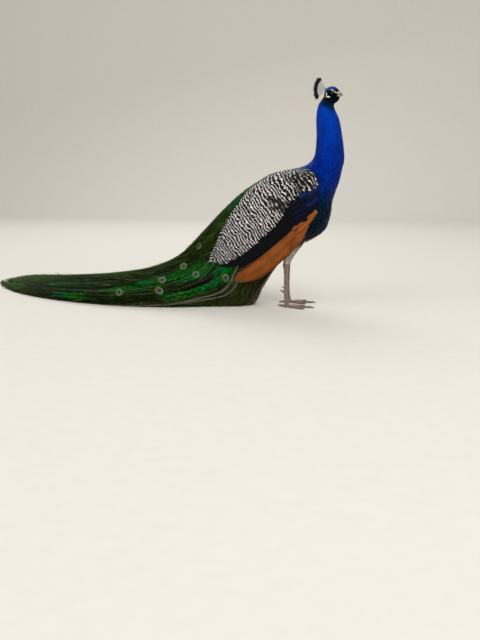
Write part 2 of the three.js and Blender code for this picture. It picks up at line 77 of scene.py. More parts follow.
# Sections: depth where the form begins, depth where it ends, half width, and where it is widest.
BODY_ROWS = [
    (0, 38, 20, .5), (0, 53, 26, .5), (0, 77, 34, .5), (0, 88, 38, .5), (0, 101, 43, .5), (0, 114, 50, .5),
    (0, 142, 59, .5), (0, 186, 72, .5), (0, 228, 82, .5), (3, 282, 87, .52), (8, 310, 88, .52),
    (14, 268, 84, .5), (22, 224, 74, .5), (30, 170, 58, .5), (36, 124, 42, .5), (44, 92, 24, .5),
]
WING_ROWS = [
    (-2, 160, 60, .5), (-4, 205, 73, .5), (-6, 252, 89, .5), (-7, 300, 99, .5), (-7, 330, 103, .5),
    (-6, 345, 104, .5), (-4, 350, 103, .5), (-2, 345, 99, .5), (1, 330, 93, .5), (4, 305, 86, .5),
    (7, 280, 78, .5),
]
TRAIN_ROWS = [
    (6, 120, 46, .5), (2, 190, 62, .5), (0, 228, 70, .5), (0, 262, 73, .5), (0, 284, 78, .5),
    (0, 302, 88, .52), (0, 228, 104, .58), (0, 178, 124, .62), (0, 142, 138, .62), (0, 115, 146, .62),
    (0, 93, 144, .62), (0, 72, 126, .62), (0, 53, 94, .62), (0, 32, 54, .62), (0, 12, 12, .62),
]
# The loose ends of the train spread wider and flatter than the mass under them.
FAN_ROWS = TRAIN_ROWS[:9] + [
    (0, 115, 150, .62), (0, 93, 158, .62), (0, 72, 160, .62), (0, 50, 146, .62), (0, 30, 118, .62),
    (0, 12, 92, .62),
]
SWEEP_START, SWEEP_LENGTH, SWEEP_TURN = -368.0, 1015.0, math.radians(48)
# The side view of a wing is unrolled over the back from this angle up.
SHOULDER = .82

HEAD_CENTRE = np.array([141.0, 0.0, 724.0])
HEAD_TURN, HEAD_PITCH = math.radians(-37), math.radians(3)
# The skull from the bill's base back to the nape: x, lowest, highest, half width, in the head's frame.
SKULL_ROWS = [
    (31.5, -11.5, 9.8, 5.4), (28, -17, 12, 7.6), (23, -23.5, 16, 10.6), (16, -27.5, 20.5, 14.6),
    (7, -30, 24.5, 17.6), (-4, -29, 25.5, 18.5), (-16, -27, 23, 17), (-24, -22, 17, 13), (-27, -12, 10, 6),
]
EYE_AT = np.array([10.0, -11.2, 3.5])
GAZE = np.array([.24, 1, .04])
SOCKET_RADIUS = 5.4
ANKLE_TOP = 159.0
FOOT_SIDE = 48.0
# Thigh and shank stations: x, z, half width across, half width fore and aft.
THIGH_ROWS = [(30, 262, 28, 40), (20, 232, 26, 33), (10, 203, 20, 23), (2, 178, 13, 15), (-3, 158, 9.5, 10)]
SHANK_ROWS = [
    (-3, 157.6, 8, 8.5), (-6, 148, 9, 10), (-5, 132, 7.2, 7.6), (-5, 96, 5.8, 6.4), (-5, 56, 5.6, 6),
    (-3, 26, 6.6, 6.6), (1, 2, 8, 8.6),
]


def turned(angle, axis):
    return np.array(Matrix.Rotation(angle, 3, axis))


HEAD_AXES = turned(HEAD_TURN, "Z") @ turned(HEAD_PITCH, "Y")


def frame_shift():
    """Where the middle of the feet stands in the row frame, in metres, from the two eyes' places."""
    corners = [np.array(c) for side in ("right", "left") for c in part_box("eye_" + side)]
    middle = HEAD_CENTRE + HEAD_AXES @ (EYE_AT * (1, 0, 1))
    shift = np.mean(corners, axis=0) - middle * MM
    return shift * (1, 1, 0)


SHIFT = frame_shift()


def spline(rows, t):
    """A uniform Catmull-Rom curve through the rows, read at t, and carried straight on past its ends."""
    rows = np.asarray(rows, float)
    padded = np.vstack([2 * rows[0] - rows[1], rows, 2 * rows[-1] - rows[-2]])
    t = np.asarray(t, float)
    k = np.clip(np.floor(t).astype(int), 0, len(rows) - 2)
    full = t - k
    f = np.clip(full, 0, 1)[..., None]
    a, b, c, d = (padded[k + i] for i in range(4))
    value = 0.5 * (2 * b + (c - a) * f + (2 * a - 5 * b + 4 * c - d) * f**2 + (3 * b - 3 * c + d - a) * f**3)
    slope = 0.5 * ((c - a) + 2 * (2 * a - 5 * b + 4 * c - d) * f + 3 * (3 * b - 3 * c + d - a) * f**2)
    return value + slope * (full[..., None] - f)


def smooth(x, low, high):
    """0 below low, 1 above high, and a soft step between."""
    x = np.clip((np.asarray(x, float) - low) / (high - low), 0, 1)
    return x * x * (3 - 2 * x)


def blend(a, b, share):
    """a where share is 0 and b where it is 1."""
    share = np.asarray(share, float)[..., None]
    return np.asarray(a, float) * (1 - share) + np.asarray(b, float) * share


def unit(vectors):
    """The same directions, each one long."""
    return vectors / np.maximum(np.linalg.norm(vectors, axis=-1, keepdims=True), 1e-9)


def pair(x, y):
    """Two arrays spread to one shape and set side by side in a last axis."""
    return np.stack(np.broadcast_arrays(x, y), -1)


def patch_at(share, t, u, v, size=PATCH):
    """A feather's patch in the map OFBake, at its root's place: its share of the turn and its plane t."""
    return pair(share + size / 2 * u, t / MAP_PLANES + size * v)


def plane_at(t):
    """A section plane's place on the back line (x, z), and its dip in radians."""
    x, z, dip = np.moveaxis(spline(PLANES, t), -1, 0)
    return x, z, np.radians(dip)


SWEEP_STEPS = np.linspace(0, 1400, 561)
SWEEP_HEADING = SWEEP_TURN * np.sin(PI / 2 * np.minimum(SWEEP_STEPS / SWEEP_LENGTH, 1))
SWEEP_X = np.concatenate([[0], np.cumsum(np.cos(SWEEP_HEADING[1:]) * np.diff(SWEEP_STEPS))])
SWEEP_Y = np.concatenate([[0], np.cumsum(np.sin(SWEEP_HEADING[1:]) * np.diff(SWEEP_STEPS))])


def sweep(points):
    """Bends the train sideways over the floor, past the point where it leaves the body."""
    past = SWEEP_START - points[..., 0]
    on = past > 0
    heading = np.interp(past, SWEEP_STEPS, SWEEP_HEADING)
    x = SWEEP_START - np.interp(past, SWEEP_STEPS, SWEEP_X) + points[..., 1] * np.sin(heading)
    y = np.interp(past, SWEEP_STEPS, SWEEP_Y) + points[..., 1] * np.cos(heading)
    return np.stack([np.where(on, x, points[..., 0]), np.where(on, y, points[..., 1]), points[..., 2]], -1)


class Surface:
    """A surface read at a place t along it and an angle a round it; feathers lie towards greater t."""

    def frame(self, t, a):
        """Point, outward normal, and the two rates of travel along t and along a."""
        step = 2e-3
        point = self.bare(t, a)
        along = (self.bare(t + step, a) - self.bare(t - step, a)) / (2 * step)
        round_ = (self.bare(t, a + step) - self.bare(t, a - step)) / (2 * step)
        normal = unit(np.cross(round_, along))
        return point, normal, np.linalg.norm(along, axis=-1), np.linalg.norm(round_, axis=-1)

    def at(self, t, a, height):
        point, normal, _, _ = self.frame(t, a)
        return point + normal * np.asarray(height, float)[..., None]


class Form(Surface):
    """A loft over the section planes: a is 0 on the back, half a turn on the keel, over 0 on the left."""

    def __init__(self, first, rows, laid=False):
        self.first, self.rows, self.laid = first, rows, laid

    def section(self, t):
        """Depth where the form begins, where it ends, half width, and where it is widest."""
        return np.moveaxis(spline(self.rows, t - self.first), -1, 0)

    def bare(self, t, a):
        t, a = np.broadcast_arrays(np.asarray(t, float), np.asarray(a, float))
        x, z, dip = plane_at(t)
        inset, reach, half, middle = self.section(t)
        c = np.cos(a)
        span = reach - inset
        depth = inset + span * middle - c * span * np.where(c > 0, middle, 1 - middle)
        points = np.stack([x + np.cos(dip) * depth, np.sin(a) * half, z - np.sin(dip) * depth], -1)
        if self.laid:
            points = sweep(points)
            points[..., 2] = np.maximum(points[..., 2], 3 * LOWEST)
        return points

    def plane_through(self, x, z):
        """The plane t that holds the side-view place (x, z)."""
        grid = np.linspace(self.first - .5, self.first + len(self.rows) - .5, 160)
        gx, gz, dip = plane_at(grid)
        x, z = np.asarray(x, float), np.asarray(z, float)
        dx, dz = x[..., None] - gx, z[..., None] - gz
        off = np.abs(dx * np.sin(dip) + dz * np.cos(dip))
        off = np.where(dx * np.cos(dip) - dz * np.sin(dip) < -40, 1e6, off)
        t = grid[np.argmin(off, axis=-1)]
        for _ in range(4):
            here, there = self.off_plane(t, x, z), self.off_plane(t + 1e-3, x, z)
            slope = (there - here) / 1e-3
            t = t - np.clip(here / np.where(np.abs(slope) < 1, 1, slope), -.05, .05)
        return t

    @staticmethod
    def off_plane(t, x, z):
        """How far a side-view place lies off the section plane at t."""
        bx, bz, dip = plane_at(t)
        return (x - bx) * np.sin(dip) + (z - bz) * np.cos(dip)

    def cosine(self, t, x, z):
        """The cosine of the angle where the section at t passes (x, z); it leaves -1 to 1 off the form."""
        bx, bz, dip = plane_at(t)
        depth = (x - bx) * np.cos(dip) - (z - bz) * np.sin(dip)
        inset, reach, _, middle = self.section(t)
        c = (inset + (reach - inset) * middle - depth) / np.maximum(reach - inset, 1)
        return c / np.where(c > 0, middle, 1 - middle)

    def locate(self, x, z):
        """The plane t and the angle a, on the left, where the form's side view holds the place (x, z)."""
        t = self.plane_through(x, z)
        return t, np.arccos(np.clip(self.cosine(t, x, z), -1, 1))

    def unrolled(self, x, z):
        """Like locate, with the side view unrolled over the back: places above it lie on the back."""
        t = self.plane_through(x, z)
        c = self.cosine(t, x, z)
        past = c - math.cos(SHOULDER)
        return t, np.where(past > 0, SHOULDER - past / math.sin(SHOULDER), np.arccos(np.clip(c, -1, 1)))

    def rolled(self, t, a):
        """The unrolled side-view place (x, z) of t and a."""
        bx, bz, dip = plane_at(t)
        inset, reach, _, middle = self.section(t)
        c = np.where(a < SHOULDER, math.cos(SHOULDER) + (SHOULDER - a) * math.sin(SHOULDER), np.cos(a))
        depth = inset + (reach - inset) * (middle - c * np.where(c > 0, middle, 1 - middle))
        return bx + np.cos(dip) * depth, bz - np.sin(dip) * depth

    def over(self, x, z, height):
        """Points on the right flank over unrolled side-view places (x, z), at a height over the form."""
        t, a = self.unrolled(x, z)
        return self.at(t, -a, height)


class Skull(Surface):
    """The head from the bill back to the nape; a is 0 on the crown."""

    def bare(self, t, a):
        t, a = np.broadcast_arrays(np.asarray(t, float), np.asarray(a, float))
        x, low, high, half = np.moveaxis(spline(SKULL_ROWS, t), -1, 0)
        local = np.stack([x, np.sin(a) * half, (low + high) / 2 + np.cos(a) * (high - low) / 2], -1)
        return HEAD_CENTRE + local @ HEAD_AXES.T


class Limb(Surface):
    """A tapered limb in a plane of constant y, or turned in plan; a is 0 in front or on top."""

    def __init__(self, rows, side, turn=0.0):
        self.rows, self.side, self.turn = rows, side, turn

    def bare(self, t, a):
        t, a = np.broadcast_arrays(np.asarray(t, float), np.asarray(a, float))
        x, z, wide, deep = np.moveaxis(spline(self.rows, t), -1, 0)
        ahead = spline(self.rows, t + 1e-3) - spline(self.rows, t - 1e-3)
        length = np.hypot(ahead[..., 0], ahead[..., 1])
        dx, dz = ahead[..., 0] / length, ahead[..., 1] / length
        along = x - dz * np.cos(a) * deep
        up = z + dx * np.cos(a) * deep
        across = -np.sin(a) * wide
        c, s = math.cos(self.turn), math.sin(self.turn)
        return np.stack([along * c - across * s, self.side + along * s + across * c, up], -1)


BODY = Form(0, BODY_ROWS)
WING = Form(5, WING_ROWS)
TRAIN = Form(9, TRAIN_ROWS, laid=True)
FAN = Form(9, FAN_ROWS, laid=True)
SKULL = Skull()


# ------------------------------------------------------------------ closed strips and meshes
class Coat:
    """Closed strips gathered into one mesh: points, triangles, colours and the two maps of each point."""

    def __init__(self):
        self.points, self.faces, self.soft, self.tint, self.vane, self.patch = [], [], [], [], [], []
        self.count = 0

    def add(self, points, faces, soft, tint, vane, patch):
        self.points.append(points)
        self.faces.append(faces + self.count)
        self.soft.append(soft)
        self.tint.append(tint)
        self.vane.append(vane)
        self.patch.append(patch)
        self.count += len(points)

    def strips(self, grid, tint, rim, vane, patch):
        """Adds tapered closed strips. grid is (strips, stations, across, 3), and its last station ends in
        one point; rim is 1 along the free edges, vane holds millimetres across and back from the tip."""
        n, stations, k, _ = grid.shape
        last = (stations - 1) * k
        keep = np.r_[0:last, last + k // 2]
        faces, soft = strip_faces(stations, k)

        def spread(value, width):
            """The values of every strip's kept points, one row each."""
            value = np.broadcast_to(value, (n, stations, k, width))
            return value.reshape(n, stations * k, width)[:, keep].reshape(-1, width)

        offsets = (np.arange(n) * (last + 1))[:, None, None]
        marks = np.hstack([spread(tint, 3), spread(np.asarray(rim)[..., None], 1)])
        self.add(spread(grid, 3), (faces[None] + offsets).reshape(-1, 3), np.tile(soft, n), marks,
                 spread(vane, 2), spread(patch, 2))

    def mirrored(self):
        """The same mesh on the bird's other side."""
        other = Coat()
        for points, faces, *rest in zip(self.points, self.faces, self.soft, self.tint, self.vane,
                                        self.patch):
            other.points.append(points * (1, -1, 1))
            other.faces.append(faces[:, ::-1])
            for held, value in zip((other.soft, other.tint, other.vane, other.patch), rest):
                held.append(value)
        other.count = self.count
        return other


def strip_faces(stations, k):
    """Triangles of one closed strip with k points across its upper side, and which are shaded soft."""
    faces, soft = [], []

    def add(tri, is_soft):
        faces.append(tri)
        soft.append(is_soft)

    for i in range(1, k - 1):
        add((0, i + 1, i), False)
    for j in range(stations - 2):
        row = j * k
        for i in range(k - 1):
            add((row + i, row + i + 1, row + i + 1 + k), True)
            add((row + i, row + i + 1 + k, row + i + k), True)
        add((row + k - 1, row, row + k), False)
        add((row + k - 1, row + k, row + 2 * k - 1), False)
    row, tip = (stations - 2) * k, (stations - 1) * k
    for i in range(k - 1):
        add((row + i, row + i + 1, tip), True)
    add((row + k - 1, row, tip), False)
    return np.array(faces), np.array(soft)


def new_object(name, coat, finish):
    """A mesh object in the row frame from a coat, with its finish."""
    points = np.concatenate(coat.points) * MM + SHIFT
    points[:, 2] = np.maximum(points[:, 2], LOWEST * MM)
    faces = np.concatenate(coat.faces)
    mesh = bpy.data.meshes.new(name)
    mesh.vertices.add(len(points))
    mesh.vertices.foreach_set("co", points.astype(np.float32).ravel())
    mesh.loops.add(faces.size)
    mesh.loops.foreach_set("vertex_index", faces.astype(np.int32).ravel())
    mesh.polygons.add(len(faces))
    mesh.polygons.foreach_set("loop_start", np.arange(0, faces.size, 3, dtype=np.int32))
    mesh.polygons.foreach_set("use_smooth", np.concatenate(coat.soft))
    mesh.update(calc_edges=True)
    tint = mesh.attributes.new("tint", "FLOAT_COLOR", "POINT")
    tint.data.foreach_set("color", np.concatenate(coat.tint).astype(np.float32).ravel())
    for name_, held in (("OFBake", coat.patch), ("Vane", coat.vane)):
        layer = mesh.uv_layers.new(name=name_)
        layer.uv.foreach_set("vector", np.concatenate(held)[faces.ravel()].astype(np.float32).ravel())
    mesh.uv_layers.active = mesh.uv_layers["OFBake"]
    mesh.validate()
    mesh.materials.append(finish)
    made = bpy.data.objects.new(name, mesh)
    bpy.context.scene.collection.objects.link(made)
    return made


def settle(piece, slot, *nodes):
    """Puts a finished piece on the body and hides the solids that it replaces."""
    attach(piece, "root")
    if nodes:
        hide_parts(*nodes)
    return piece


def both_sides(name, coat, finish, slot, node=None):
    """The same piece on the right and, mirrored, on the left; node is the solid's name without its side."""
    for side, held in (("right", coat), ("left", coat.mirrored())):
        settle(new_object(name + side, held, finish), slot, *([node + side] if node else []))


SCALE = np.array([(0, .42), (.28, .86), (.55, 1), (.78, .86), (.92, .52), (1, 0)])
PLUME = np.array([(0, .5), (.3, 1), (.6, .82), (.85, .42), (1, 0)])


def plumes(coat, form, t, a, length, width, root_tint, tip_tint, outline=SCALE, across=3, depth=3.0, rise=.8,
           ridge=.35, turn=0.0):
    """Lays feathers on a form: each follows it from the root (t, a), sunk there and proud at the tip."""
    t, a = np.asarray(t, float), np.asarray(a, float)
    n = len(t)
    length, width, depth, rise, turn = (np.broadcast_to(v, (n,)).astype(float)[:, None, None]
                                        for v in (length, width, depth, rise, turn))
    _, _, fast_t, fast_a = form.frame(t, a)
    v = outline[:, 0][None, :, None]
    half = outline[:, 1][None, :, None] * width / 2
    u = np.linspace(-1, 1, across)[None, None, :]
    along, side = v * length, u * half
    forward = along * np.cos(turn) - side * np.sin(turn)
    sideways = along * np.sin(turn) + side * np.cos(turn)
    fast_t = np.maximum(fast_t, 2)[:, None, None]
    fast_a = np.maximum(fast_a, 3)[:, None, None]
    height = -depth * (1 - v) ** 1.3 + rise * v**2 + ridge * (1 - u**2) * (1 - v**3)
    tt = t[:, None, None] + forward / fast_t
    aa = a[:, None, None] + sideways / fast_a
    points = form.at(tt, aa, height)
    share = np.broadcast_to(v[..., None], (n, len(outline), across, 1))
    tint = root_tint[:, None, None, :] * (1 - share) + tip_tint[:, None, None, :] * share
    vane = pair(.5 + side / VANE_MM, (length - along) / VANE_MM)
    patch = patch_at((a[:, None, None] / (2 * PI)) % 1, t[:, None, None], u, v)
    coat.strips(points, tint, np.abs(u) + 0 * v, vane, patch)


def rows_of_roots(form, start, end, step, gap, rng, low=-PI, high=PI, wander=.22):
    """Roots of shingled rows: row step and gap across are functions of t, every other row half a gap on."""
    out_t, out_a, row, t = [], [], 0, start
    fine = np.linspace(low, high, 97)
    while t < end:
        _, _, fast_t, fast_a = form.frame(np.full(len(fine), t), fine)
        edge = np.concatenate([[0], np.cumsum((fast_a[1:] + fast_a[:-1]) / 2 * np.diff(fine))])
        count = max(4, round(edge[-1] / gap(t)))
        places = (np.arange(count) + .5 * (row % 2) + .25 + rng.normal(0, wander, count)) / count
        out_a.append(np.interp(np.clip(places, 0, 1) * edge[-1], edge, fine))
        out_t.append(t + rng.normal(0, wander, count) * step(t) / fast_t.mean())
        t += step(t) / fast_t.mean()
        row += 1
    return np.concatenate(out_t), np.concatenate(out_a)


def between(pairs):
    """A function of t that runs straight between (t, value) pairs."""
    xs, ys = zip(*pairs)
    return lambda t: np.interp(t, xs, ys)


def plate(coat, top, tint, rim, vane, patch, thick):
    """A closed plate under a grid of points (stations, across, 3), for one large feather."""
    stations, k, _ = top.shape
    along = np.gradient(top, axis=0)
    across = np.gradient(top, axis=1)
    below = top - unit(np.cross(across, along)) * thick
    index = np.arange(stations * k).reshape(stations, k)
    a, b, c, d = index[:-1, :-1], index[:-1, 1:], index[1:, :-1], index[1:, 1:]
    upper = np.concatenate([np.stack([a, b, d], -1).reshape(-1, 3), np.stack([a, d, c], -1).reshape(-1, 3)])
    lower = upper[:, ::-1] + stations * k
    rim_line = np.concatenate([index[0, :], index[1:, -1], index[-1, -2::-1], index[-2:0:-1, 0]])
    after = np.roll(rim_line, -1)
    off = stations * k
    sides = np.concatenate([np.stack([rim_line, rim_line + off, after + off], -1),
                            np.stack([rim_line, after + off, after], -1)])
    faces = np.concatenate([upper, lower, sides])
    soft = np.r_[np.ones(2 * len(upper), bool), np.zeros(len(sides), bool)]
    marks = np.concatenate([tint, rim[..., None]], -1).reshape(-1, 4)
    coat.add(np.concatenate([top.reshape(-1, 3), below.reshape(-1, 3)]), faces, soft, np.tile(marks, (2, 1)),
             np.tile(vane.reshape(-1, 2), (2, 1)), np.tile(patch.reshape(-1, 2), (2, 1)))


# ------------------------------------------------------------------ finishes
def ink(code):
    """A colour written as on a paint chart, as the shader's own numbers."""
    parts = [int(code[i:i + 2], 16) / 255 for i in (0, 2, 4)]
    return tuple(c / 12.92 if c <= 0.04045 else ((c + 0.055) / 1.055) ** 2.4 for c in parts)


class Finish:
    """A material in the making: its nodes are added by short calls and wired to one Principled shader."""

    def __init__(self, name, roughness, metallic=0.0, sheen=0.0, coat=0.0, gloss=0.5, glint=None):
        self.material = bpy.data.materials.new(name)
        self.material.use_nodes = True
        self.tree = self.material.node_tree
        self.shader = self.tree.nodes["Principled BSDF"]
        for socket, value in (("Roughness", roughness), ("Metallic", metallic), ("Sheen Weight", sheen),
                              ("Sheen Roughness", .3), ("Coat Weight", coat), ("Coat Roughness", .08),
                              ("Specular IOR Level", gloss)):
            self.shader.inputs[socket].default_value = value
        if glint:
            self.shader.inputs["Specular Tint"].default_value = (*glint, 1)
        self.place = self.new("ShaderNodeTexCoord").outputs["Object"]

    def new(self, kind, **settings):
        node = self.tree.nodes.new(kind)
        for key, value in settings.items():
            setattr(node, key, value)
        return node

    def plug(self, value, socket):
        if isinstance(value, bpy.types.NodeSocket):
            self.tree.links.new(value, socket)
        elif isinstance(value, (tuple, list)) and len(value) == 3 and socket.type == "RGBA":
            socket.default_value = (*value, 1)
        else:
            socket.default_value = value

    def math(self, operation, a, b=0.0, c=0.0):
        node = self.new("ShaderNodeMath", operation=operation)
        for value, socket in zip((a, b, c), node.inputs):
            self.plug(value, socket)
        return node.outputs[0]

    def step(self, value, low, high, out_low=0.0, out_high=1.0):
        """A soft step of value from low to high."""
        node = self.new("ShaderNodeMapRange", interpolation_type="SMOOTHSTEP")
        for socket, number in zip(node.inputs[:5], (value, low, high, out_low, out_high)):
            self.plug(number, socket)
        return node.outputs[0]

    def wave(self, line, rate):
        """Waves along a line, from -1 to 1."""
        return self.math("SINE", self.math("MULTIPLY", line, rate))

    def hypot(self, x, y):
        """How far the place (x, y) is from the zero point."""
        return self.math("SQRT", self.math("ADD", self.math("POWER", x, 2.0), self.math("POWER", y, 2.0)))

    def mix(self, share, a, b):
        node = self.new("ShaderNodeMix", data_type="RGBA")
        self.plug(share, node.inputs["Factor"])
        self.plug(a, node.inputs[6])
        self.plug(b, node.inputs[7])
        return node.outputs[2]

    def noise(self, scale, detail=2.0, stretch=None):
        """Noise over the object's own place, from 0 to 1."""
        where = self.place
        if stretch:
            mapping = self.new("ShaderNodeMapping")
            self.plug(where, mapping.inputs["Vector"])
            mapping.inputs["Scale"].default_value = stretch
            where = mapping.outputs[0]
        node = self.new("ShaderNodeTexNoise")
        self.plug(where, node.inputs["Vector"])
        node.inputs["Scale"].default_value = scale
        node.inputs["Detail"].default_value = detail
        return node.outputs["Fac"]

    def map(self, name):
        """Across and along of a map of the piece."""
        node = self.new("ShaderNodeSeparateXYZ")
        self.plug(self.new("ShaderNodeUVMap", uv_map=name).outputs[0], node.inputs[0])
        return node.outputs["X"], node.outputs["Y"]

    def vane(self):
        """Off the shaft and along the feather, in the map Vane."""
        across, along = self.map("Vane")
        return self.math("ABSOLUTE", self.math("SUBTRACT", across, 0.5)), along

    def tint(self):
        """The piece's own colour and the mark kept with it."""
        node = self.new("ShaderNodeAttribute", attribute_name="tint")
        return node.outputs["Color"], node.outputs["Alpha"]

    def shine(self, shade, amount):
        """Multiplies the shade's strength between 1-amount and 1+amount by slow noise over the piece."""
        value = self.step(self.noise(38.0, 3.0), .3, .7, 1 - amount, 1 + amount)
        node = self.new("ShaderNodeVectorMath", operation="SCALE")
        self.plug(shade, node.inputs[0])
        self.plug(value, node.inputs["Scale"])
        return node.outputs[0]

    def bump(self, height, distance, strength=1.0):
        node = self.new("ShaderNodeBump")
        node.inputs["Strength"].default_value = strength
        node.inputs["Distance"].default_value = distance
        self.plug(height, node.inputs["Height"])
        self.plug(node.outputs[0], self.shader.inputs["Normal"])

    def done(self, shade):
        self.plug(shade, self.shader.inputs["Base Color"])
        return self.material


BARB_SLANT = .8
OLIVE_GLINT = (.3, .8, .25)


def feather_finish(name, roughness, metallic=0.0, sheen=0.0, edge=0.5, barb=1.1, shaft=None, sparkle=.18,
                   depth=.00025, groove=.35, gloss=0.3, glint=None):
    """Feathers coloured by their own tint: free edges darkened, partly their own dark fringes and partly
    painted shade that marks where one feather lies on the next; fine barbs on both sides of the shaft.
    """
    made = Finish(name, roughness, metallic, sheen, gloss=gloss, glint=glint)
    shade, rim = made.tint()
    aside, along = made.vane()
    line = made.math("MULTIPLY_ADD", aside, -BARB_SLANT, along)
    ripple = made.math("MULTIPLY_ADD", made.wave(line, 2 * PI * VANE_MM / barb), 0.5, 0.5)
    # Painted shade and dark fringes: the free side edges darken towards black, as far as edge allows.
    shade = made.mix(made.math("MULTIPLY", made.math("POWER", rim, 3.0), edge), shade, (0.004, 0.004, 0.006))
    shade = made.mix(made.math("MULTIPLY", ripple, groove), shade, (0.002, 0.002, 0.003))
    if shaft:
        shade = made.mix(made.step(aside, .008, .002), shade, shaft)
    made.bump(ripple, depth, .8)
    return made.done(made.shine(shade, sparkle))


def barred_finish(name, dark, bar):
    """Wing coverts: pale feathers crossed by dark wavering bars. The mark is over 0 where they are mottled
    and under 0 where they are faded."""
    made = Finish(name, 0.62, gloss=.25)
    ground, mark = made.tint()
    aside, along = made.vane()
    mottled = made.math("MAXIMUM", mark, 0.0)
    faded = made.math("MAXIMUM", made.math("MULTIPLY", mark, -1.0), 0.0)
    waver = made.math("SUBTRACT", made.noise(26.0, 3.0), .5)
    waver = made.math("MULTIPLY", waver, made.math("MULTIPLY_ADD", mottled, .14, .34))
    waver = made.math("MULTIPLY_ADD", made.noise(95.0, 1.0), .075, waver)
    line = made.math("ADD", made.math("MULTIPLY_ADD", aside, .2, along), waver)
    wave = made.wave(line, 2 * PI * VANE_MM / bar)
    wave = made.math("ADD", wave, made.math("MULTIPLY_ADD", made.noise(120.0, 2.0), 1.9, -.95))
    wave = made.math("ADD", wave, made.math("MULTIPLY_ADD", mottled, -.5, -.32))
    share = made.step(wave, -.1, .1)
    low = made.mix(made.math("MULTIPLY", faded, .03), dark, ground)
    shade = made.mix(share, low, ground)
    fine = made.wave(made.math("MULTIPLY_ADD", aside, -1.0, along), 2 * PI * 110)
    shade = made.mix(made.math("MULTIPLY_ADD", fine, .09, .09), shade, (0.01, 0.01, 0.01))
    made.bump(fine, .0002, .7)
    return made.done(shade)


def eye_spot_finish(name, tones):
    """The round eye at the end of a train feather: rings about a dark heart, over fine slanting barbs."""
    made = Finish(name, 0.45, metallic=.15, gloss=.25)
    across, along = made.map("Vane")
    x = made.math("MULTIPLY", made.math("SUBTRACT", across, 0.5), VANE_MM)
    y = made.math("MULTIPLY", made.math("SUBTRACT", along, 0.5), VANE_MM)
    far = made.hypot(x, y)
    toward = made.math("ADD", y, -3.6)
    dent = made.math("MULTIPLY", made.step(made.math("ABSOLUTE", x), 0, 3.2, 1.0, 0.0), -1.6)
    near = made.hypot(x, toward)
    near = made.math("SUBTRACT", near, made.math("MULTIPLY", dent, made.step(toward, 0, 4)))
    edge = made.mix(made.step(y, -14, 12), tones["shade"], tones["gold"])
    rim = made.mix(made.step(y, -14, 10), tones["green"], tones["lime"])
    shade = made.mix(made.step(far, 13.2, 15.6, 1.0, 0.0), edge, rim)
    wide = made.hypot(x, made.math("ADD", y, 1.8))
    for away, low, high, ring in ((wide, 10.2, 11.8, "bronze"), (near, 6.8, 8.0, "cyan"),
                                  (near, 5.0, 6.0, "heart")):
        shade = made.mix(made.step(away, low, high, 1.0, 0.0), shade, tones[ring])
    line = made.math("MULTIPLY_ADD", made.math("ABSOLUTE", x), BARB_SLANT, y)
    ripple = made.math("MULTIPLY_ADD", made.wave(line, 2 * PI / 1.1), .5, .5)
    shade = made.mix(made.math("MULTIPLY", ripple, .32), shade, (0.002, 0.004, 0.002))
    made.bump(ripple, .0003, .8)
    return made.done(shade)


def horn_finish(name, shade, end, roughness, along, coat=.15):
    """Horn that changes from shade to end along one line of the bird, with fine growth lines."""
    made = Finish(name, roughness, coat=coat)
    grain = made.noise(420.0, 3.0, stretch=(1, 1, .35))
    node = made.new("ShaderNodeVectorMath", operation="DOT_PRODUCT")
    made.plug(made.place, node.inputs[0])
    direction, start, stop = along
    node.inputs[1].default_value = direction
    share = made.step(node.outputs["Value"], start, stop)
    colour = made.mix(share, shade, end)
    colour = made.mix(made.step(grain, .35, .75, 0.0, .35), colour, tuple(c * .4 for c in shade))
    made.bump(grain, .0002, .5)
    return made.done(colour)


def scaly_finish(name, shade, seam, size):
    """Leg skin: small raised scales with darker seams."""
    made = Finish(name, 0.5, coat=.08)
    cells = made.new("ShaderNodeTexVoronoi", feature="DISTANCE_TO_EDGE")
    made.plug(made.place, cells.inputs["Vector"])
    cells.inputs["Scale"].default_value = 1000 / size
    edge = made.step(cells.outputs["Distance"], 0.02, .16)
    mottled = made.mix(made.step(made.noise(120.0, 3.0), .35, .7, 0.0, .7), shade,
                       tuple(c * .55 for c in shade))
    made.bump(edge, .0004, .7)
    return made.done(made.mix(edge, seam, mottled))


def tinted_finish(name, roughness, grain, metallic=0.0, contrast=.5, gloss=.2):
    """A plain surface coloured by its own tint, mottled by noise."""
    made = Finish(name, roughness, metallic, gloss=gloss)
    tint, _ = made.tint()
    rough = made.noise(grain, 3.0)
    shade = made.mix(made.step(rough, .3, .75, 0.0, contrast), tint, (0.003, 0.003, 0.004))
    made.bump(rough, .0004, .8)
    return made.done(shade)


def floor_finish(shade):
    """Matt paint with a faint mottle."""
    made = Finish("floor_paint", .8)
    rough = made.noise(30.0, 3.0)
    made.bump(rough, .0002, .5)
    return made.done(made.mix(made.step(rough, .3, .75, 0.0, .04), shade, tuple(c * .4 for c in shade)))


# ------------------------------------------------------------------ markings
HEAD_PATCHES = [  # bare white skin: side-view line in the head's frame and half its width
    ([(5, 14.8), (14, 10.2), (22, 5.4), (27, 3.4)], 1.8),
    ([(-12.5, 6), (-12, -2), (-8.5, -8.0), (-1, -9.6), (4, -9)], 2.2),
]


def off_line(x, z, line):
    """How far the places (x, z) lie from a line of straight stretches."""
    best = np.full(np.shape(x), 1e9)
    for (x0, z0), (x1, z1) in zip(line, line[1:]):
        dx, dz = x1 - x0, z1 - z0
        share = np.clip(((x - x0) * dx + (z - z0) * dz) / max(dx * dx + dz * dz, 1e-9), 0, 1)
        best = np.minimum(best, np.hypot(x - x0 - share * dx, z - z0 - share * dz))
    return best


def to_head(points):
    return (points - HEAD_CENTRE) @ HEAD_AXES


def bare_face(local):
    """1 on the bare white skin of the face, 0 off it."""
    aside = np.abs(local[..., 1]) > 5
    share = np.zeros(local.shape[:-1])
    for line, half in HEAD_PATCHES:
        off = off_line(local[..., 0], local[..., 2], line)
        share = np.maximum(share, 1 - smooth(off, half - .4, half + .4))
    return share * aside


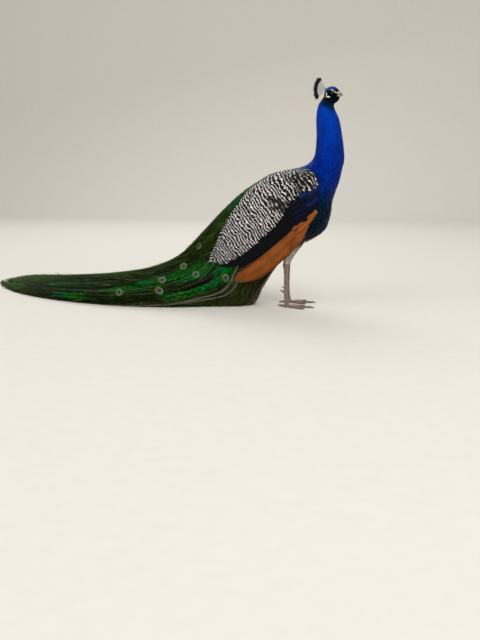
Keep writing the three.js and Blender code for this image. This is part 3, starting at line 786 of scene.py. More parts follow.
def around_eye(local):
    """How far places lie from the middle of the eye, seen from the side."""
    return np.hypot(local[..., 0] - EYE_AT[0], local[..., 2] - EYE_AT[2])


def head_tint(points, look):
    local = to_head(points)
    x, z = local[..., 0], local[..., 2]
    below = -z - .6 * x
    face = blend(look.face_black, look.throat_teal, smooth(below, 14, 34) * .8)
    tint = blend(face, look.neck_top, smooth(below, 34, 54))
    crown = smooth(z - .18 * np.maximum(x - 6, 0), 9.5, 12.5)
    return blend(tint, look.crown_blue, crown)


def body_tint(points, t, a, look):
    """The colour of the plumage at a place of the neck and trunk."""
    x, z = points[..., 0], points[..., 2]
    side = np.abs((a + PI) % (2 * PI) - PI) / PI
    blue = blend(look.neck_low, look.neck_top, smooth(z, 440, 700))
    tint = blend(look.breast_teal, blue, smooth(z + .28 * (x - 60), 352, 468))
    tint = blend(look.belly_black, tint, smooth(z, 225, 318))
    back = smooth(t, 5.0, 6.2) * (1 - smooth(side, .26, .4))
    tint = blend(tint, blend(look.back_bronze, look.back_green, smooth(t, 6.4, 9)), back)
    tint = blend(tint, head_tint(points, look), smooth(z, 628, 650))
    return blend(tint, look.vent_brown, smooth(t, 10.4, 12) * smooth(side, .3, .5))


def varied(tint, rng, amount=.2):
    """The same colours, each feather a little lighter or darker."""
    return tint * (1 + rng.normal(0, amount, len(tint)).clip(-2 * amount, 2 * amount))[:, None]


# ------------------------------------------------------------------ settings
def colour(name, description, code):
    return FloatVectorProperty(name=name, description=description, subtype="COLOR", min=0, max=1,
                               default=ink(code))


def length(name, description, value):
    return FloatProperty(name=name, description=description, unit="LENGTH", min=0, default=value)


class PeacockLook(bpy.types.PropertyGroup):
    """Colours and sizes that a user would change."""

    neck_top: colour("Upper neck", "Feathers of the upper neck", "014ace")
    neck_low: colour("Lower neck", "Feathers of the lower neck", "022fa2")
    crown_blue: colour("Crown", "Feathers of the crown", "07569c")
    face_black: colour("Face", "Feathers round the eye and the bill", "07080c")
    throat_teal: colour("Throat", "Feathers of the chin and throat", "042229")
    face_white: colour("Bare face", "Bare skin over and under the eye", "f4f0dc")
    breast_teal: colour("Breast", "Feathers of the breast", "042434")
    belly_black: colour("Belly", "Feathers of the belly", "060c0e")
    vent_brown: colour("Vent", "Down behind the legs", "281d16")
    back_bronze: colour("Upper back", "Scaly feathers between the wings", "3c4c1c")
    back_green: colour("Lower back", "Scaly feathers before the train", "145a26")
    covert_cream: colour("Covert light", "Pale ground of the barred wing feathers", "e4dddb")
    covert_grey: colour("Covert grey", "Ground of the barred feathers near the tail", "c8c4c6")
    covert_dark: colour("Covert bars", "Dark bars of the wing feathers", "0a0808")
    secondary_black: colour("Secondaries", "Middle flight feathers", "050506")
    secondary_blue: colour("Wing gloss", "Blue gloss at the bend of the wing", "071b55")
    primary_rust: colour("Primaries", "Outer flight feathers", "90480c")
    primary_tip: colour("Primary tips", "Ends of the outer flight feathers", "7c3a0a")
    tail_brown: colour("Tail", "Stiff feathers under the train", "34201a")
    train_dark: colour("Train shade", "Down and barbs deep in the train", "0c0d07")
    train_olive: colour("Train olive", "Loose barbs of most train feathers", "2f4410")
    train_brown: colour("Train underside", "Hair that hangs behind the legs", "6a562a")
    train_lime: colour("Train edge", "Barb ends along the train's borders", "638d14")
    train_emerald: colour("Train emerald", "Dense barbs of the bright train feathers", "01961e")
    train_teal: colour("Train teal", "Dense barbs just before an eye spot", "056a5e")
    shaft_white: colour("Shafts", "Bare shafts of the train feathers", "d8d2c2")
    thigh_buff: colour("Thigh", "Feathers of the thigh", "cdc3b4")
    leg_grey: colour("Legs", "Scales of the legs and toes", "9b8576")
    leg_seam: colour("Leg seams", "Between the scales", "4a3d36")
    horn_dark: colour("Claws", "Claws and spurs", "3a302a")
    bill_tip: colour("Bill", "Bill near its tip", "7c6f6b")
    bill_base: colour("Bill base", "Bill near the face", "b5a595")
    iris_brown: colour("Iris", "Iris of the eye", "2c1306")
    floor_pale: colour("Floor", "Floor and backdrop", "dcd8d0")
    skin_pore: length("Skin grain", "Size of the voxels that the skin is made from", .0026)
    coat_depth: length("Coat depth", "How far the skin lies inside the plumage", .0035)
    eye_radius: length("Eye radius", "Radius of the eyeball", .0064)
    shaft_width: length("Shaft width", "Width of a train feather's shaft at its root", .0022)
    barb_width: length("Barb width", "Width of a loose barb of the train", .0015)


def look_of(context):
    return context.scene.peacock


# ------------------------------------------------------------------ skin
def select_only(*pieces):
    """Selects these pieces alone and makes the last of them active."""
    bpy.ops.object.select_all(action="DESELECT")
    for piece in pieces:
        piece.select_set(True)
        bpy.context.view_layer.objects.active = piece


def outwards(piece, gap=1e-6):
    """Merges a piece's doubles and turns its faces outwards."""
    select_only(piece)
    bpy.ops.object.mode_set(mode="EDIT")
    bpy.ops.mesh.select_all(action="SELECT")
    bpy.ops.mesh.remove_doubles(threshold=gap)
    bpy.ops.mesh.normals_make_consistent(inside=False)
    bpy.ops.object.mode_set(mode="OBJECT")
    bpy.ops.object.select_all(action="DESELECT")


def joined_copy(name, nodes):
    """One closed mesh from copies of CAD nodes, merged and facing outwards."""
    copies = []
    for node in nodes:
        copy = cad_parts[node].copy()
        copy.data = copy.data.copy()
        copy.parent = None
        for key in list(copy.keys()):
            del copy[key]
        bpy.context.scene.collection.objects.link(copy)
        copies.append(copy)
    select_only(*copies)
    if len(nodes) > 1:
        bpy.ops.object.join()
    made = bpy.context.view_layer.objects.active
    made.name = name
    made.data.name = name
    made.data.materials.clear()
    outwards(made, 1e-5)
    return made


def apply_modifier(piece, kind, **settings):
    """Adds a modifier and applies it."""
    select_only(piece)
    modifier = piece.modifiers.new(kind.title(), kind)
    for key, value in settings.items():
        setattr(modifier, key, value)
    bpy.ops.object.modifier_apply(modifier=modifier.name)


def grown_skin(name, nodes, voxel, rounds):
    """CAD nodes fused into one skin by small voxels and rounded off."""
    made = joined_copy(name, nodes)
    apply_modifier(made, "REMESH", mode="VOXEL", voxel_size=voxel, use_smooth_shade=True)
    apply_modifier(made, "SMOOTH", factor=.5, iterations=rounds)
    return made


def places_of(piece):
    """Points and normals of a mesh, points in the bird's own millimetres."""
    count = len(piece.data.vertices)
    points, normals = np.empty(count * 3), np.empty(count * 3)
    piece.data.vertices.foreach_get("co", points)
    piece.data.vertices.foreach_get("normal", normals)
    return (points.reshape(-1, 3) - SHIFT) / MM, normals.reshape(-1, 3)


def move_points(piece, points):
    piece.data.vertices.foreach_set("co", (points * MM + SHIFT).astype(np.float32).ravel())
    piece.data.update()


def paint(piece, tint):
    """Writes a colour for each point of a piece."""
    marks = piece.data.attributes.new("tint", "FLOAT_COLOR", "POINT")
    rgba = np.hstack([tint, np.zeros((len(tint), 1))])
    marks.data.foreach_set("color", rgba.astype(np.float32).ravel())


def build_skin(look):
    nodes = ["head", "neck", "trunk", "rump", "thigh_right", "thigh_left"]
    made = grown_skin("skin", nodes, look.skin_pore, 6)
    points, normals = places_of(made)
    local = to_head(points)
    on_head = 1 - smooth(np.linalg.norm(local, axis=1), 30, 46)
    depth = look.coat_depth / MM * (1 - on_head) + .9 * on_head
    depth *= 1 - .55 * smooth(points[:, 2], 560, 700)
    points = points - normals * depth[:, None]
    points[:, 2] = np.maximum(points[:, 2], ANKLE_TOP)
    local = to_head(points)
    aside, off = np.abs(local[:, 1]), around_eye(local)
    socket = np.sqrt(np.maximum(SOCKET_RADIUS**2 - off**2, 0)) - EYE_AT[1]
    deep = np.maximum(aside - socket, 0) * (1 - smooth(off, 5.0, 8.0)) * (aside > 8)
    points = points - (np.sign(local[:, 1]) * deep)[:, None] * HEAD_AXES[:, 1]
    move_points(made, points)
    t, a = BODY.locate(points[:, 0], points[:, 2])
    # Painted shade: the skin takes the plumage colours darkened to under half, so that where it shows
    # between feathers it reads as their shade.
    tint = body_tint(points, t, a, look) * .45
    on_thigh = smooth(-points[:, 2], -262, -236) * (points[:, 0] > -12) * (points[:, 0] < 62)
    tint = blend(tint, np.array(look.thigh_buff) * .5, on_thigh * (np.abs(points[:, 1]) > 12))
    tint = blend(tint, head_tint(points, look) * .3, smooth(points[:, 2], 640, 655))
    tint = blend(tint, look.face_white, bare_face(local) * (on_head > .5))
    paint(made, tint)
    made.data.materials.append(tinted_finish("skin_under_plumage", .8, 260.0, contrast=.35, gloss=.05))
    add_lids(made, look)
    bpy.ops.object.select_all(action="DESELECT")
    settle(made, "breast_feathers", *nodes)


def add_lids(skin, look):
    """Lids over both eyes, thin shells open in an almond, joined to the skin."""
    rims = []
    phi = np.linspace(0, 2 * PI, 44, endpoint=False)
    opening = 1 / np.sqrt((np.cos(phi) / .80) ** 2 + (np.sin(phi - .12) / np.where(phi < PI, .50, .58)) ** 2)
    stations = [(1.45, 6.5), (1.2, 6.9), (.5, 7.05), (.22, 7.15), (.06, 7.2), (0, 7.0), (0, 6.7),
                (.06, 6.5), (.6, 6.4), (1.2, 6.3)]
    for side in (1, -1):
        aim = GAZE * (1, -side, 1)
        aim /= np.linalg.norm(aim)
        ahead = np.array((1, 0, 0)) - aim * aim[0]
        ahead /= np.linalg.norm(ahead)
        above = np.cross(ahead, aim) * (1 if np.cross(ahead, aim)[2] > 0 else -1)
        rings = []
        for k, (widen, radius) in enumerate(stations):
            wide = np.full(len(phi), widen) if widen >= 1.2 else opening + widen
            wide = np.minimum(wide, 1.3 if widen < 1.2 else 1.5)[:, None]
            fold = .12 * np.sin(6 * wide) if 1 < k < 4 else 0
            outward = np.cos(phi)[:, None] * ahead + np.sin(phi)[:, None] * above
            way = np.cos(wide) * aim + np.sin(wide) * outward
            rings.append(EYE_AT * (1, side, 1) + way * (radius + fold))
        coat = Coat()
        closed_rings(coat, HEAD_CENTRE + np.array(rings) @ HEAD_AXES.T, np.array(look.face_black) * 1.6)
        rim = new_object("lid", coat, skin.data.materials[0])
        outwards(rim)
        rims.append(rim)
    select_only(*rims, skin)
    bpy.ops.object.join()
    for held in ("OFBake", "Vane"):
        skin.data.uv_layers.remove(skin.data.uv_layers[held])


# ------------------------------------------------------------------ head
def head_finish(name):
    return feather_finish(name, .42, .25, edge=.3, barb=.5, sparkle=.2, depth=.00012, gloss=.2,
                          glint=(.1, .4, .8))


def build_head_coat(look, rng):
    """The short glossy feathers of the face, crown and throat."""
    coat = Coat()
    t, a = rows_of_roots(SKULL, .25, 7.8, between([(0, 1.0), (3, 1.25), (5, 1.7), (8, 2.6)]),
                         between([(0, 1.2), (3, 1.5), (5, 1.9), (8, 2.8)]), rng)
    points = SKULL.bare(t, a)
    local = to_head(points)
    in_eye = (around_eye(local) < 5.7) & (np.abs(local[:, 1]) > 8)
    in_bill = (local[:, 0] > 27.5) & (np.abs(local[:, 2] - .5) < 10.3) & (np.abs(local[:, 1]) < 9.5)
    back = smooth(-local[:, 0], -26, 20)
    long_ = 2.5 + 5.5 * back
    keep = ~in_eye & ~in_bill & (bare_face(local) < .35)
    _, _, fast, _ = SKULL.frame(t, a)
    for share in (.3, .6, .9):
        along = to_head(SKULL.bare(t + share * long_ / np.maximum(fast, 2), a))
        keep &= (bare_face(along) < .55) & ((around_eye(along) > 5.2) | (np.abs(along[:, 1]) < 8))
    t, a, points, back, long_ = t[keep], a[keep], points[keep], back[keep], long_[keep]
    tint = varied(head_tint(points, look), rng, .18)
    plumes(coat, SKULL, t, a, long_, long_ * .5, tint * .85, tint * 1.2, outline=PLUME, depth=.6 + back,
           rise=.2 + .5 * back, ridge=.12, turn=rng.normal(0, .16, len(t)))
    settle(new_object("coat_head", coat, head_finish("head_feathers")), "head_feathers")


def build_jaw_coat(look, rng):
    """Small feathers laid on the skin itself, where the head passes into the neck."""
    skin = bpy.data.objects["skin"]
    bpy.context.view_layer.update()
    tree = BVHTree.FromObject(skin, bpy.context.evaluated_depsgraph_get())
    points, normals = places_of(skin)
    local = to_head(points)
    far = np.linalg.norm(local - (-6, 0, -10), axis=1)
    zone = (far < 44) & (local[:, 2] < 8 - .6 * np.maximum(local[:, 0] + 14, 0)) & (local[:, 0] < 20)
    zone &= bare_face(local) < .35
    zone &= around_eye(local) > 9
    roots, cells = [], set()
    for i in rng.permutation(np.flatnonzero(zone)):
        cell = tuple(np.floor(points[i] / 1.7).astype(int))
        if cell not in cells:
            cells.add(cell)
            roots.append(i)
    roots = np.array(roots)
    root, out, local = points[roots], normals[roots], local[roots]
    down = smooth(-local[:, 2] - .3 * local[:, 0], 2, 30)[:, None]
    way = (np.array((-.86, 0, -.5)) * (1 - down) + np.array((-.35, 0, -.94)) * down) @ HEAD_AXES.T
    way = way + rng.normal(0, .10, way.shape)
    way = unit(way - out * (way * out).sum(1, keepdims=True))
    beside = np.cross(way, out)
    v, profile = PLUME[:, 0][None, :, None], PLUME[:, 1][None, :, None]
    u = np.array([-1, 0, 1])[None, None, :]
    long_ = (5 + 4.5 * down[:, 0])[:, None, None]
    flat = root[:, None, None] + way[:, None, None] * (v * long_)[..., None]
    flat = flat + beside[:, None, None] * (u * profile * long_ * .27)[..., None]
    height = -.5 * (1 - v) ** 1.3 + .9 * v**2 + .15 * (1 - u**2)
    height = height + rng.normal(0, .08, len(root))[:, None, None] * v
    grid = np.empty(flat.shape)
    height = np.broadcast_to(height, flat.shape[:3])
    for at in np.ndindex(flat.shape[:3]):
        near, up, _, _ = tree.find_nearest(Vector(flat[at] * MM + SHIFT))
        grid[at] = (np.array(near) - SHIFT) / MM + np.array(up) * height[at]
    keep = bare_face(to_head(grid)).max((1, 2)) < .6
    grid, root, long_ = grid[keep], root[keep], long_[keep]
    tint = varied(head_tint(root, look), rng, .18)
    share = v[..., None]
    tint = tint[:, None, None] * (.85 * (1 - share) + 1.15 * share)
    vane = pair(.5 + u * profile * long_ * .0027, (1 - v) * long_ / VANE_MM)
    side = to_head(root)[:, 1]
    patch = patch_at((side / 60 + .5)[:, None, None], .9 * MAP_PLANES, u, v)
    coat = Coat()
    coat.strips(grid, tint, np.abs(u) + 0 * v, vane, patch)
    settle(new_object("coat_jaw", coat, head_finish("jaw_feathers")), "head_feathers")


def build_eyes(look):
    """Two wet eyeballs with a brown iris round a black pupil."""
    white = Finish("eye_gloss", .04, coat=.25, gloss=.4)
    gaze = white.new("ShaderNodeAttribute", attribute_name="gaze").outputs["Fac"]
    fibre = white.noise(900.0, 2.0)
    iris = white.mix(fibre, tuple(c * .6 for c in look.iris_brown), tuple(c * 1.7 for c in look.iris_brown))
    shade = white.mix(white.step(gaze, .72, .75), (0.006, 0.005, 0.005), iris)
    shade = white.mix(white.step(gaze, .875, .89), shade, (0.001, 0.001, 0.001))
    finish = white.done(shade)
    for side, name in ((1, "eye_right"), (-1, "eye_left")):
        aim = Vector(HEAD_AXES @ (GAZE * (1, -side, 1))).normalized()
        world = HEAD_CENTRE + HEAD_AXES @ (EYE_AT * (1, side, 1))
        bpy.ops.object.select_all(action="DESELECT")
        bpy.ops.mesh.primitive_uv_sphere_add(segments=40, ring_count=24, radius=look.eye_radius,
                                             location=world * MM + SHIFT,
                                             rotation=aim.to_track_quat("Z", "Y").to_euler())
        ball = bpy.context.object
        ball.name = name + "_ball"
        bpy.ops.object.transform_apply(location=True, rotation=True, scale=True)
        bpy.ops.object.shade_smooth()
        points, _ = places_of(ball)
        share = ((points - world) @ np.array(aim)) / (look.eye_radius / MM)
        marks = ball.data.attributes.new("gaze", "FLOAT", "POINT")
        marks.data.foreach_set("value", share.astype(np.float32))
        points = points + np.array(aim) * (.5 * smooth(share, .86, 1))[:, None]
        move_points(ball, points)
        ball.data.materials.append(finish)
        settle(ball, "eye_gloss", name)


def head_loft(rows, steps, sides, pinch):
    """Rings of a bill half in the head's frame; pinch narrows the ridge on top."""
    v = np.linspace(0, len(rows) - 1, steps)
    x, low, high, half = np.moveaxis(spline(rows, v), -1, 0)
    a = np.linspace(0, 2 * PI, sides, endpoint=False)
    c, s = np.cos(a)[None, :], np.sin(a)[None, :]
    half, low, high, x = half[:, None], low[:, None], high[:, None], x[:, None]
    wide = np.sign(s) * np.abs(s) ** (1 + pinch * np.maximum(c, 0))
    return np.stack([x + 0 * c, wide * half, (low + high) / 2 + c * (high - low) / 2], -1)


UPPER_BILL = [
    (20, -1, 9.8, 9.4), (27, -1.2, 9.8, 7.4), (33, -1.6, 8.2, 5.6), (38, -2.2, 5.4, 4.1),
    (42, -3.3, 2.0, 2.7), (44.8, -4.9, -1.4, 1.3), (45.6, -5.6, -4.0, .6),
]
LOWER_BILL = [
    (20, -9.2, -1.5, 8.0), (27, -8.6, -1.7, 6.4), (33, -7.6, -2.1, 4.7), (38, -6.6, -2.7, 3.2),
    (41.4, -5.7, -4.1, 1.5),
]


def closed_rings(coat, rings, tint):
    """Adds a closed tube over rings of points, with a fan at each end."""
    count, sides, _ = rings.shape
    points = np.concatenate([rings.reshape(-1, 3), rings[0].mean(0)[None], rings[-1].mean(0)[None]])
    i = np.arange(sides)
    j = (i + 1) % sides
    faces = []
    for r in range(count - 1):
        a, b = r * sides + i, r * sides + j
        faces += [np.stack([a, b, b + sides], -1), np.stack([a, b + sides, a + sides], -1)]
    first, last = len(points) - 2, len(points) - 1
    faces.append(np.stack([np.full(sides, first), j, i], -1))
    faces.append(np.stack([np.full(sides, last), (count - 1) * sides + i, (count - 1) * sides + j], -1))
    faces = np.concatenate(faces)
    marks = np.tile(np.r_[np.asarray(tint, float), 0.0], (len(points), 1))
    share = np.r_[np.repeat(np.arange(count) / count, sides), 0, 1]
    turn = np.r_[np.tile(i / sides, count), 0, 0]
    maps = np.stack([turn, share], -1)
    coat.add(points, faces, np.ones(len(faces), bool), marks, maps, maps)


def build_bill(look):
    """Both halves of the bill, with the nostrils pressed into the upper one."""
    forward = tuple(HEAD_AXES[:, 0])
    origin = float((HEAD_CENTRE * MM + SHIFT) @ HEAD_AXES[:, 0])
    finish = horn_finish("bill_horn", tuple(look.bill_base), tuple(look.bill_tip), .42,
                         (forward, origin + .030, origin + .040))
    for name, rows, pinch in (("bill_upper", UPPER_BILL, .55), ("bill_lower", LOWER_BILL, 0)):
        local = head_loft(rows, 30, 32, pinch)
        if name == "bill_upper":
            off = np.hypot((local[..., 0] - 32.2) / 2.6,
                           (local[..., 2] - 4.0 - .25 * (local[..., 0] - 32)) / 1.1)
            dent = 1.5 * (1 - smooth(off, .5, 1.25)) * (np.abs(local[..., 1]) > 1.5)
            local[..., 1] -= np.sign(local[..., 1]) * dent
        coat = Coat()
        closed_rings(coat, HEAD_CENTRE + local @ HEAD_AXES.T, look.bill_tip)
        made = new_object(name + "_horn", coat, finish)
        outwards(made)
        settle(made, "bill_horn", name)


CREST = {"root": (-26, 0, 17), "feathers": 22, "low": -37, "high": 44, "middle": 59, "ends": 57}


def build_crest(look, rng):
    """A fan of bare shafts, each ending in a small spade of barbs."""
    coat = Coat()
    root = np.array(CREST["root"], float)
    pale, dark = np.array(look.shaft_white) * .7, np.array(look.secondary_blue) * .22
    green = np.array(look.throat_teal)

    def strand(line, widths, tint, flat):
        """One thin closed strand along a line of points."""
        line, widths = np.asarray(line), np.asarray(widths)[:, None, None]
        u = np.array([-1, 0, 1])[None, :, None]
        away = unit(np.cross(np.gradient(line, axis=0), flat))
        grid = line[:, None] + u * widths * flat + (1 - np.abs(u)) * widths * .7 * away[:, None]
        grid = HEAD_CENTRE + grid @ HEAD_AXES.T
        tint = np.broadcast_to(tint, (len(line), 3))[None, :, None]
        row, column = divmod(len(coat.points), 40)
        along = np.linspace(0, 1, len(line))[:, None]
        patch = pair(PATCH / 2 * u[..., 0], PATCH * along) + (.4 + .004 * column, .02 + .004 * row)
        coat.strips(grid[None], tint, 0, .5, patch)

    for i in range(CREST["feathers"]):
        share = i / (CREST["feathers"] - 1)
        angle = math.radians(CREST["low"] + (CREST["high"] - CREST["low"]) * share)
        lean = math.radians(2.4 if i % 2 else -2.4) + rng.normal(0, .03)
        long_ = CREST["middle"] - (CREST["middle"] - CREST["ends"]) * (2 * share - 1) ** 2
        way = np.array((-math.cos(angle) * math.cos(lean), math.sin(lean), math.sin(angle) * math.cos(lean)))
        flat = np.array((math.sin(angle), 0, math.cos(angle)))
        far = np.array([1, .33, .66, .85]) * (long_ - 6)
        far[0] = 1
        strand(root + far[:, None] * way, [.42, .34, .28, .2], [pale, pale, dark, dark], flat)
        for k in range(4):
            start = root + way * (22 + 4.2 * k + rng.normal(0, .5))
            for side in (1, -1):
                tip = start + way * 3.4 + flat * side * (1.6 + rng.normal(0, .3))
                strand([start, (start + tip) / 2 + way * .3, tip], [.16, .13, 0], dark, np.cross(way, flat))
        for k in range(13):
            spread = (k - 6) / 6
            start = root + way * (long_ - 18.5 + 2.2 * (1 - abs(spread)))
            reach = 17.6 * math.cos(spread * .95) + rng.normal(0, .4)
            aside = 5.4 * math.sin(spread * 1.35)
            tip = start + way * reach + flat * aside
            middle = start + way * reach * .45 + flat * aside * .8
            strand([start, middle, tip], [.35, .78, 0], [green, dark, dark * 1.3], flat)
    pad = crest_pad(root, look)
    made = new_object("crest_fan", coat,
                      feather_finish("crest_feathers", .45, .3, edge=0, barb=2, groove=.1))
    settle(made, "crest_feathers", "crest")
    settle(pad, "head_feathers")


def crest_pad(root, look):
    """The small mound of feathers that the crest grows from."""
    coat = Coat()
    v = np.linspace(-1, 1, 12)
    a = np.linspace(0, 2 * PI, 20, endpoint=False)
    radius = np.sqrt(np.maximum(1 - v**2, .02))[:, None]
    local = np.stack([root[0] + 2 + v[:, None] * 5 + 0 * a, np.sin(a) * 3.4 * radius,
                      root[2] - .5 + np.cos(a) * 3.8 * radius + v[:, None] * 1.5], -1)
    closed_rings(coat, HEAD_CENTRE + local @ HEAD_AXES.T, np.array(look.crown_blue) * .3)
    made = new_object("crest_pad", coat, tinted_finish("crest_pad_feathers", .5, 700.0, .3))
    outwards(made)
    return made


# ------------------------------------------------------------------ neck, trunk and thighs
WING_OUTLINE = [  # side view of the folded wing, all layers together
    (100, 442), (84, 466), (40, 471), (-12, 462), (-58, 442), (-108, 402), (-156, 348), (-200, 288),
    (-240, 220), (-268, 160), (-232, 142), (-190, 112), (-186, 76), (-90, 106), (-16, 165), (40, 220),
    (78, 288), (101, 326),
]


def inside(x, z, outline):
    """True for side-view places inside a closed outline."""
    found = np.zeros(np.shape(x), bool)
    for (x0, z0), (x1, z1) in zip(outline, outline[1:] + outline[:1]):
        crosses = (z0 > z) != (z1 > z)
        with np.errstate(divide="ignore", invalid="ignore"):
            at = x0 + (z - z0) / (z1 - z0) * (x1 - x0)
        found ^= crosses & (x < at)
    return found


def edge_gap(x, z, outline):
    """How far places lie from an outline."""
    return off_line(x, z, outline + outline[:1])


def under_wing(points, margin):
    """True well inside the wing's side view, where no feather of the body shows."""
    x, z = points[..., 0], points[..., 2]
    deep = edge_gap(x, z, WING_OUTLINE) > margin
    return inside(x, z, WING_OUTLINE) & deep & (np.abs(points[..., 1]) > 30)


def build_body_coat(look, rng):
    """Neck, breast, back and belly in shingled feathers, each group its own piece."""
    step = between([(0, 2.9), (4, 4.5), (6, 7), (9, 9.5), (15, 11)])
    gap = between([(0, 3.0), (4, 4.5), (6, 6.6), (9, 8.5), (15, 10)])
    t, a = rows_of_roots(BODY, -.2, 14.8, step, gap, rng)
    points, _, fast, _ = BODY.frame(t, a)
    local = to_head(points)
    in_head = (local[:, 2] > -19) & (local[:, 0] > -17)
    keep = ~under_wing(points, 26) & ~in_head
    side = np.abs((a + PI) % (2 * PI) - PI) / PI
    keep &= ~((t > 5.6) & (side < .45))
    t, a, points, fast = t[keep], a[keep], points[keep], fast[keep]
    long_ = np.interp(t, [0, 3, 5, 7, 10, 15], [10, 13, 18, 24, 30, 40]) * rng.uniform(.9, 1.12, len(t))
    wide = np.interp(t, [0, 3, 5, 7, 10, 15], [4.8, 6.2, 9, 13, 15, 14])
    loose = (1 - smooth(points[:, 2], 250, 330)) * rng.random(len(t))
    long_ = long_ * (1 + .5 * loose)
    sink = np.interp(t, [0, 4, 7, 15], [1.8, 2.4, 3.4, 5])
    shade = varied(body_tint(points, t, a, look), rng, .16)
    tip = body_tint(BODY.bare(t + long_ / np.maximum(fast, 2), a), t, a, look)
    tip = varied(tip, rng, .16)
    groups = [
        ("coat_neck", "neck_feathers", t < 5.4, SCALE, .8, (.02, .16, 1)),
        ("coat_breast", "breast_feathers", t >= 5.4, PLUME, 1.1, (.02, .3, .6)),
    ]
    for name, slot, mine, outline, barb, glint in groups:
        coat = Coat()
        plumes(coat, BODY, t[mine], a[mine], long_[mine], wide[mine], shade[mine] * .75, tip[mine] * 1.1,
               outline=outline, depth=sink[mine], rise=(.8 if barb < 1 else 1.6) + 5 * loose[mine], ridge=.4,
               turn=rng.normal(0, .09, int(mine.sum())) * (1 + 2 * loose[mine]))
        finish = feather_finish(slot, .38, .35, edge=.18, barb=barb, sparkle=.16, groove=.22, depth=.0002,
                                glint=glint)
        settle(new_object(name, coat, finish), slot)
    build_back_coat(look, rng)


def between_wings(t, a, spare):
    """True on the back between the barred feathers of both wings, and a little under their edges."""
    edge = between(WING_EDGE + [(14.1, 3.2)])(t)
    return np.abs(a) < edge + spare


def build_back_coat(look, rng):
    """Green scaly feathers over the back, and loose olive hair from there to the train."""
    coat = Coat()
    t, a = rows_of_roots(WING, 5.0, 9.3, between([(5, 5.0), (9, 8)]), between([(5, 5.4), (9, 7.5)]), rng,
                         -1.4, 1.4)
    keep = between_wings(t, a, .16) & (np.abs(a) < .5 + .9 * smooth(t, 5.5, 6.2))
    t, a = t[keep], a[keep]
    long_ = np.interp(t, [5, 7, 9], [14, 20, 28]) * rng.uniform(.9, 1.12, len(t))
    tint = blend(look.neck_low, look.back_bronze, smooth(t, 5.5, 6.6) * (1 - smooth(np.abs(a), .35, .75)))
    tint = blend(tint, look.back_green, smooth(t, 6.6, 7.8))
    height = np.interp(t, [5, 5.8, 10], [2.4, 0, 0])
    plumes(coat, WING, t, a, long_, long_ * .58, varied(tint, rng) * .5, varied(tint, rng) * 1.2,
           depth=3 + height, rise=.9 - height * .4, ridge=.5, across=5, turn=rng.normal(0, .08, len(t)))
    finish = feather_finish("back_feathers", .38, .3, edge=.9, barb=1.2, groove=.3, glint=(.1, .7, .2))
    settle(new_object("coat_back", coat, finish), "back_feathers")
    coat = Coat()
    t, a = rows_of_roots(WING, 8.5, 14.4, between([(8, 7), (14, 9)]), between([(8, 4.4), (14, 5)]), rng,
                         -1.9, 1.9, .4)
    keep = between_wings(t, a, .12)
    t, a = t[keep], a[keep]
    long_ = np.interp(t, [8.5, 10, 14], [30, 52, 70]) * rng.uniform(.8, 1.2, len(t))
    olive = blend(look.train_dark, look.train_olive, rng.random(len(t)) ** 1.6)
    olive = blend(olive, look.train_lime, rng.random(len(t)) ** 5 * .9)
    olive = blend(look.back_green, olive, smooth(t, 9.4, 11.4))
    plumes(coat, WING, t, a, long_, 3.2 + .02 * long_, varied(olive, rng) * .35,
           varied(olive, rng, .3) * 1.05, outline=PLUME, depth=3.5,
           rise=rng.uniform(1, 4.5, len(t)), ridge=.5, turn=rng.normal(0, .13, len(t)))
    finish = feather_finish("train_root_hair", .45, .2, edge=.3, barb=1.6, gloss=.2, glint=OLIVE_GLINT)
    settle(new_object("coat_train_root", coat, finish), "train_feathers")


def build_thigh_coat(look, rng):
    """Soft hair-like feathers down each thigh to just over the ankle."""
    coat = Coat()
    form = Limb(THIGH_ROWS, -FOOT_SIDE)
    t, a = rows_of_roots(form, .2, 3.72, between([(0, 6), (4, 3.4)]), between([(0, 6.4), (4, 3.2)]), rng)
    long_ = np.interp(t, [0, 2, 4], [30, 22, 11]) * rng.uniform(.85, 1.15, len(t))
    tint = np.tile(look.thigh_buff, (len(t), 1))
    tint = blend(tint, look.vent_brown, smooth(-np.cos(a), .2, .9) * .5)
    tint = blend(look.belly_black, tint, smooth(t, .2, .9))
    tint = varied(tint, rng, .22)
    plumes(coat, form, t, a, long_, long_ * .34, tint * .7, tint * 1.2, outline=PLUME, depth=2.4,
           rise=rng.uniform(.8, 3.2, len(t)), ridge=.5, turn=rng.normal(0, .2, len(t)))
    finish = feather_finish("thigh_feathers", .7, 0, .25, edge=.3, barb=.9, groove=.2, gloss=.15)
    both_sides("coat_thigh_", coat, finish, "thigh_feathers")


# ------------------------------------------------------------------ wings
# Where the barred feathers end towards the back: section plane and angle from the back line.
WING_EDGE = [(5.4, 1.4), (5.78, 1.02), (6.05, .74), (6.4, .52), (6.9, .38), (7.6, .32), (9.3, .34),
             (10.1, .49), (11, .60), (11.6, .68), (12.2, .77), (12.8, .90), (13.3, .98), (13.7, 1.1)]
COVERTS_UPPER = [(102, 430), (99, 444), (90, 457), (76, 467)]
COVERTS_UPPER += [tuple(WING.rolled(t, a)) for t, a in WING_EDGE[2:-1]] + [(-270, 156)]
COVERTS_LOWER = [(102, 430), (96, 415), (80, 402), (52, 391), (24, 378), (0, 356), (-30, 304), (-70, 262),
                 (-122, 216), (-178, 172), (-226, 149), (-270, 156)]
SECONDARIES_UPPER = [(98, 420), (40, 420), (-60, 340), (-150, 250), (-246, 160)]
SECONDARIES_LOWER = [(92, 342), (56, 304), (12, 262), (-50, 213), (-130, 163), (-232, 142)]
PRIMARIES_UPPER = [(96, 340), (50, 306), (-40, 228), (-120, 160), (-190, 112)]
PRIMARIES_LOWER = [(101, 326), (78, 288), (40, 220), (-16, 165), (-90, 106), (-186, 76)]
WING_AXIS = np.array((-.79, -.61)) / np.hypot(.79, .61)
WING_HEADING = math.atan2(WING_AXIS[1], WING_AXIS[0])
WING_ORIGIN = np.array((100.0, 470.0))
SMALL_COVERTS = 74
BAR, ROW = 12.6, 11.7
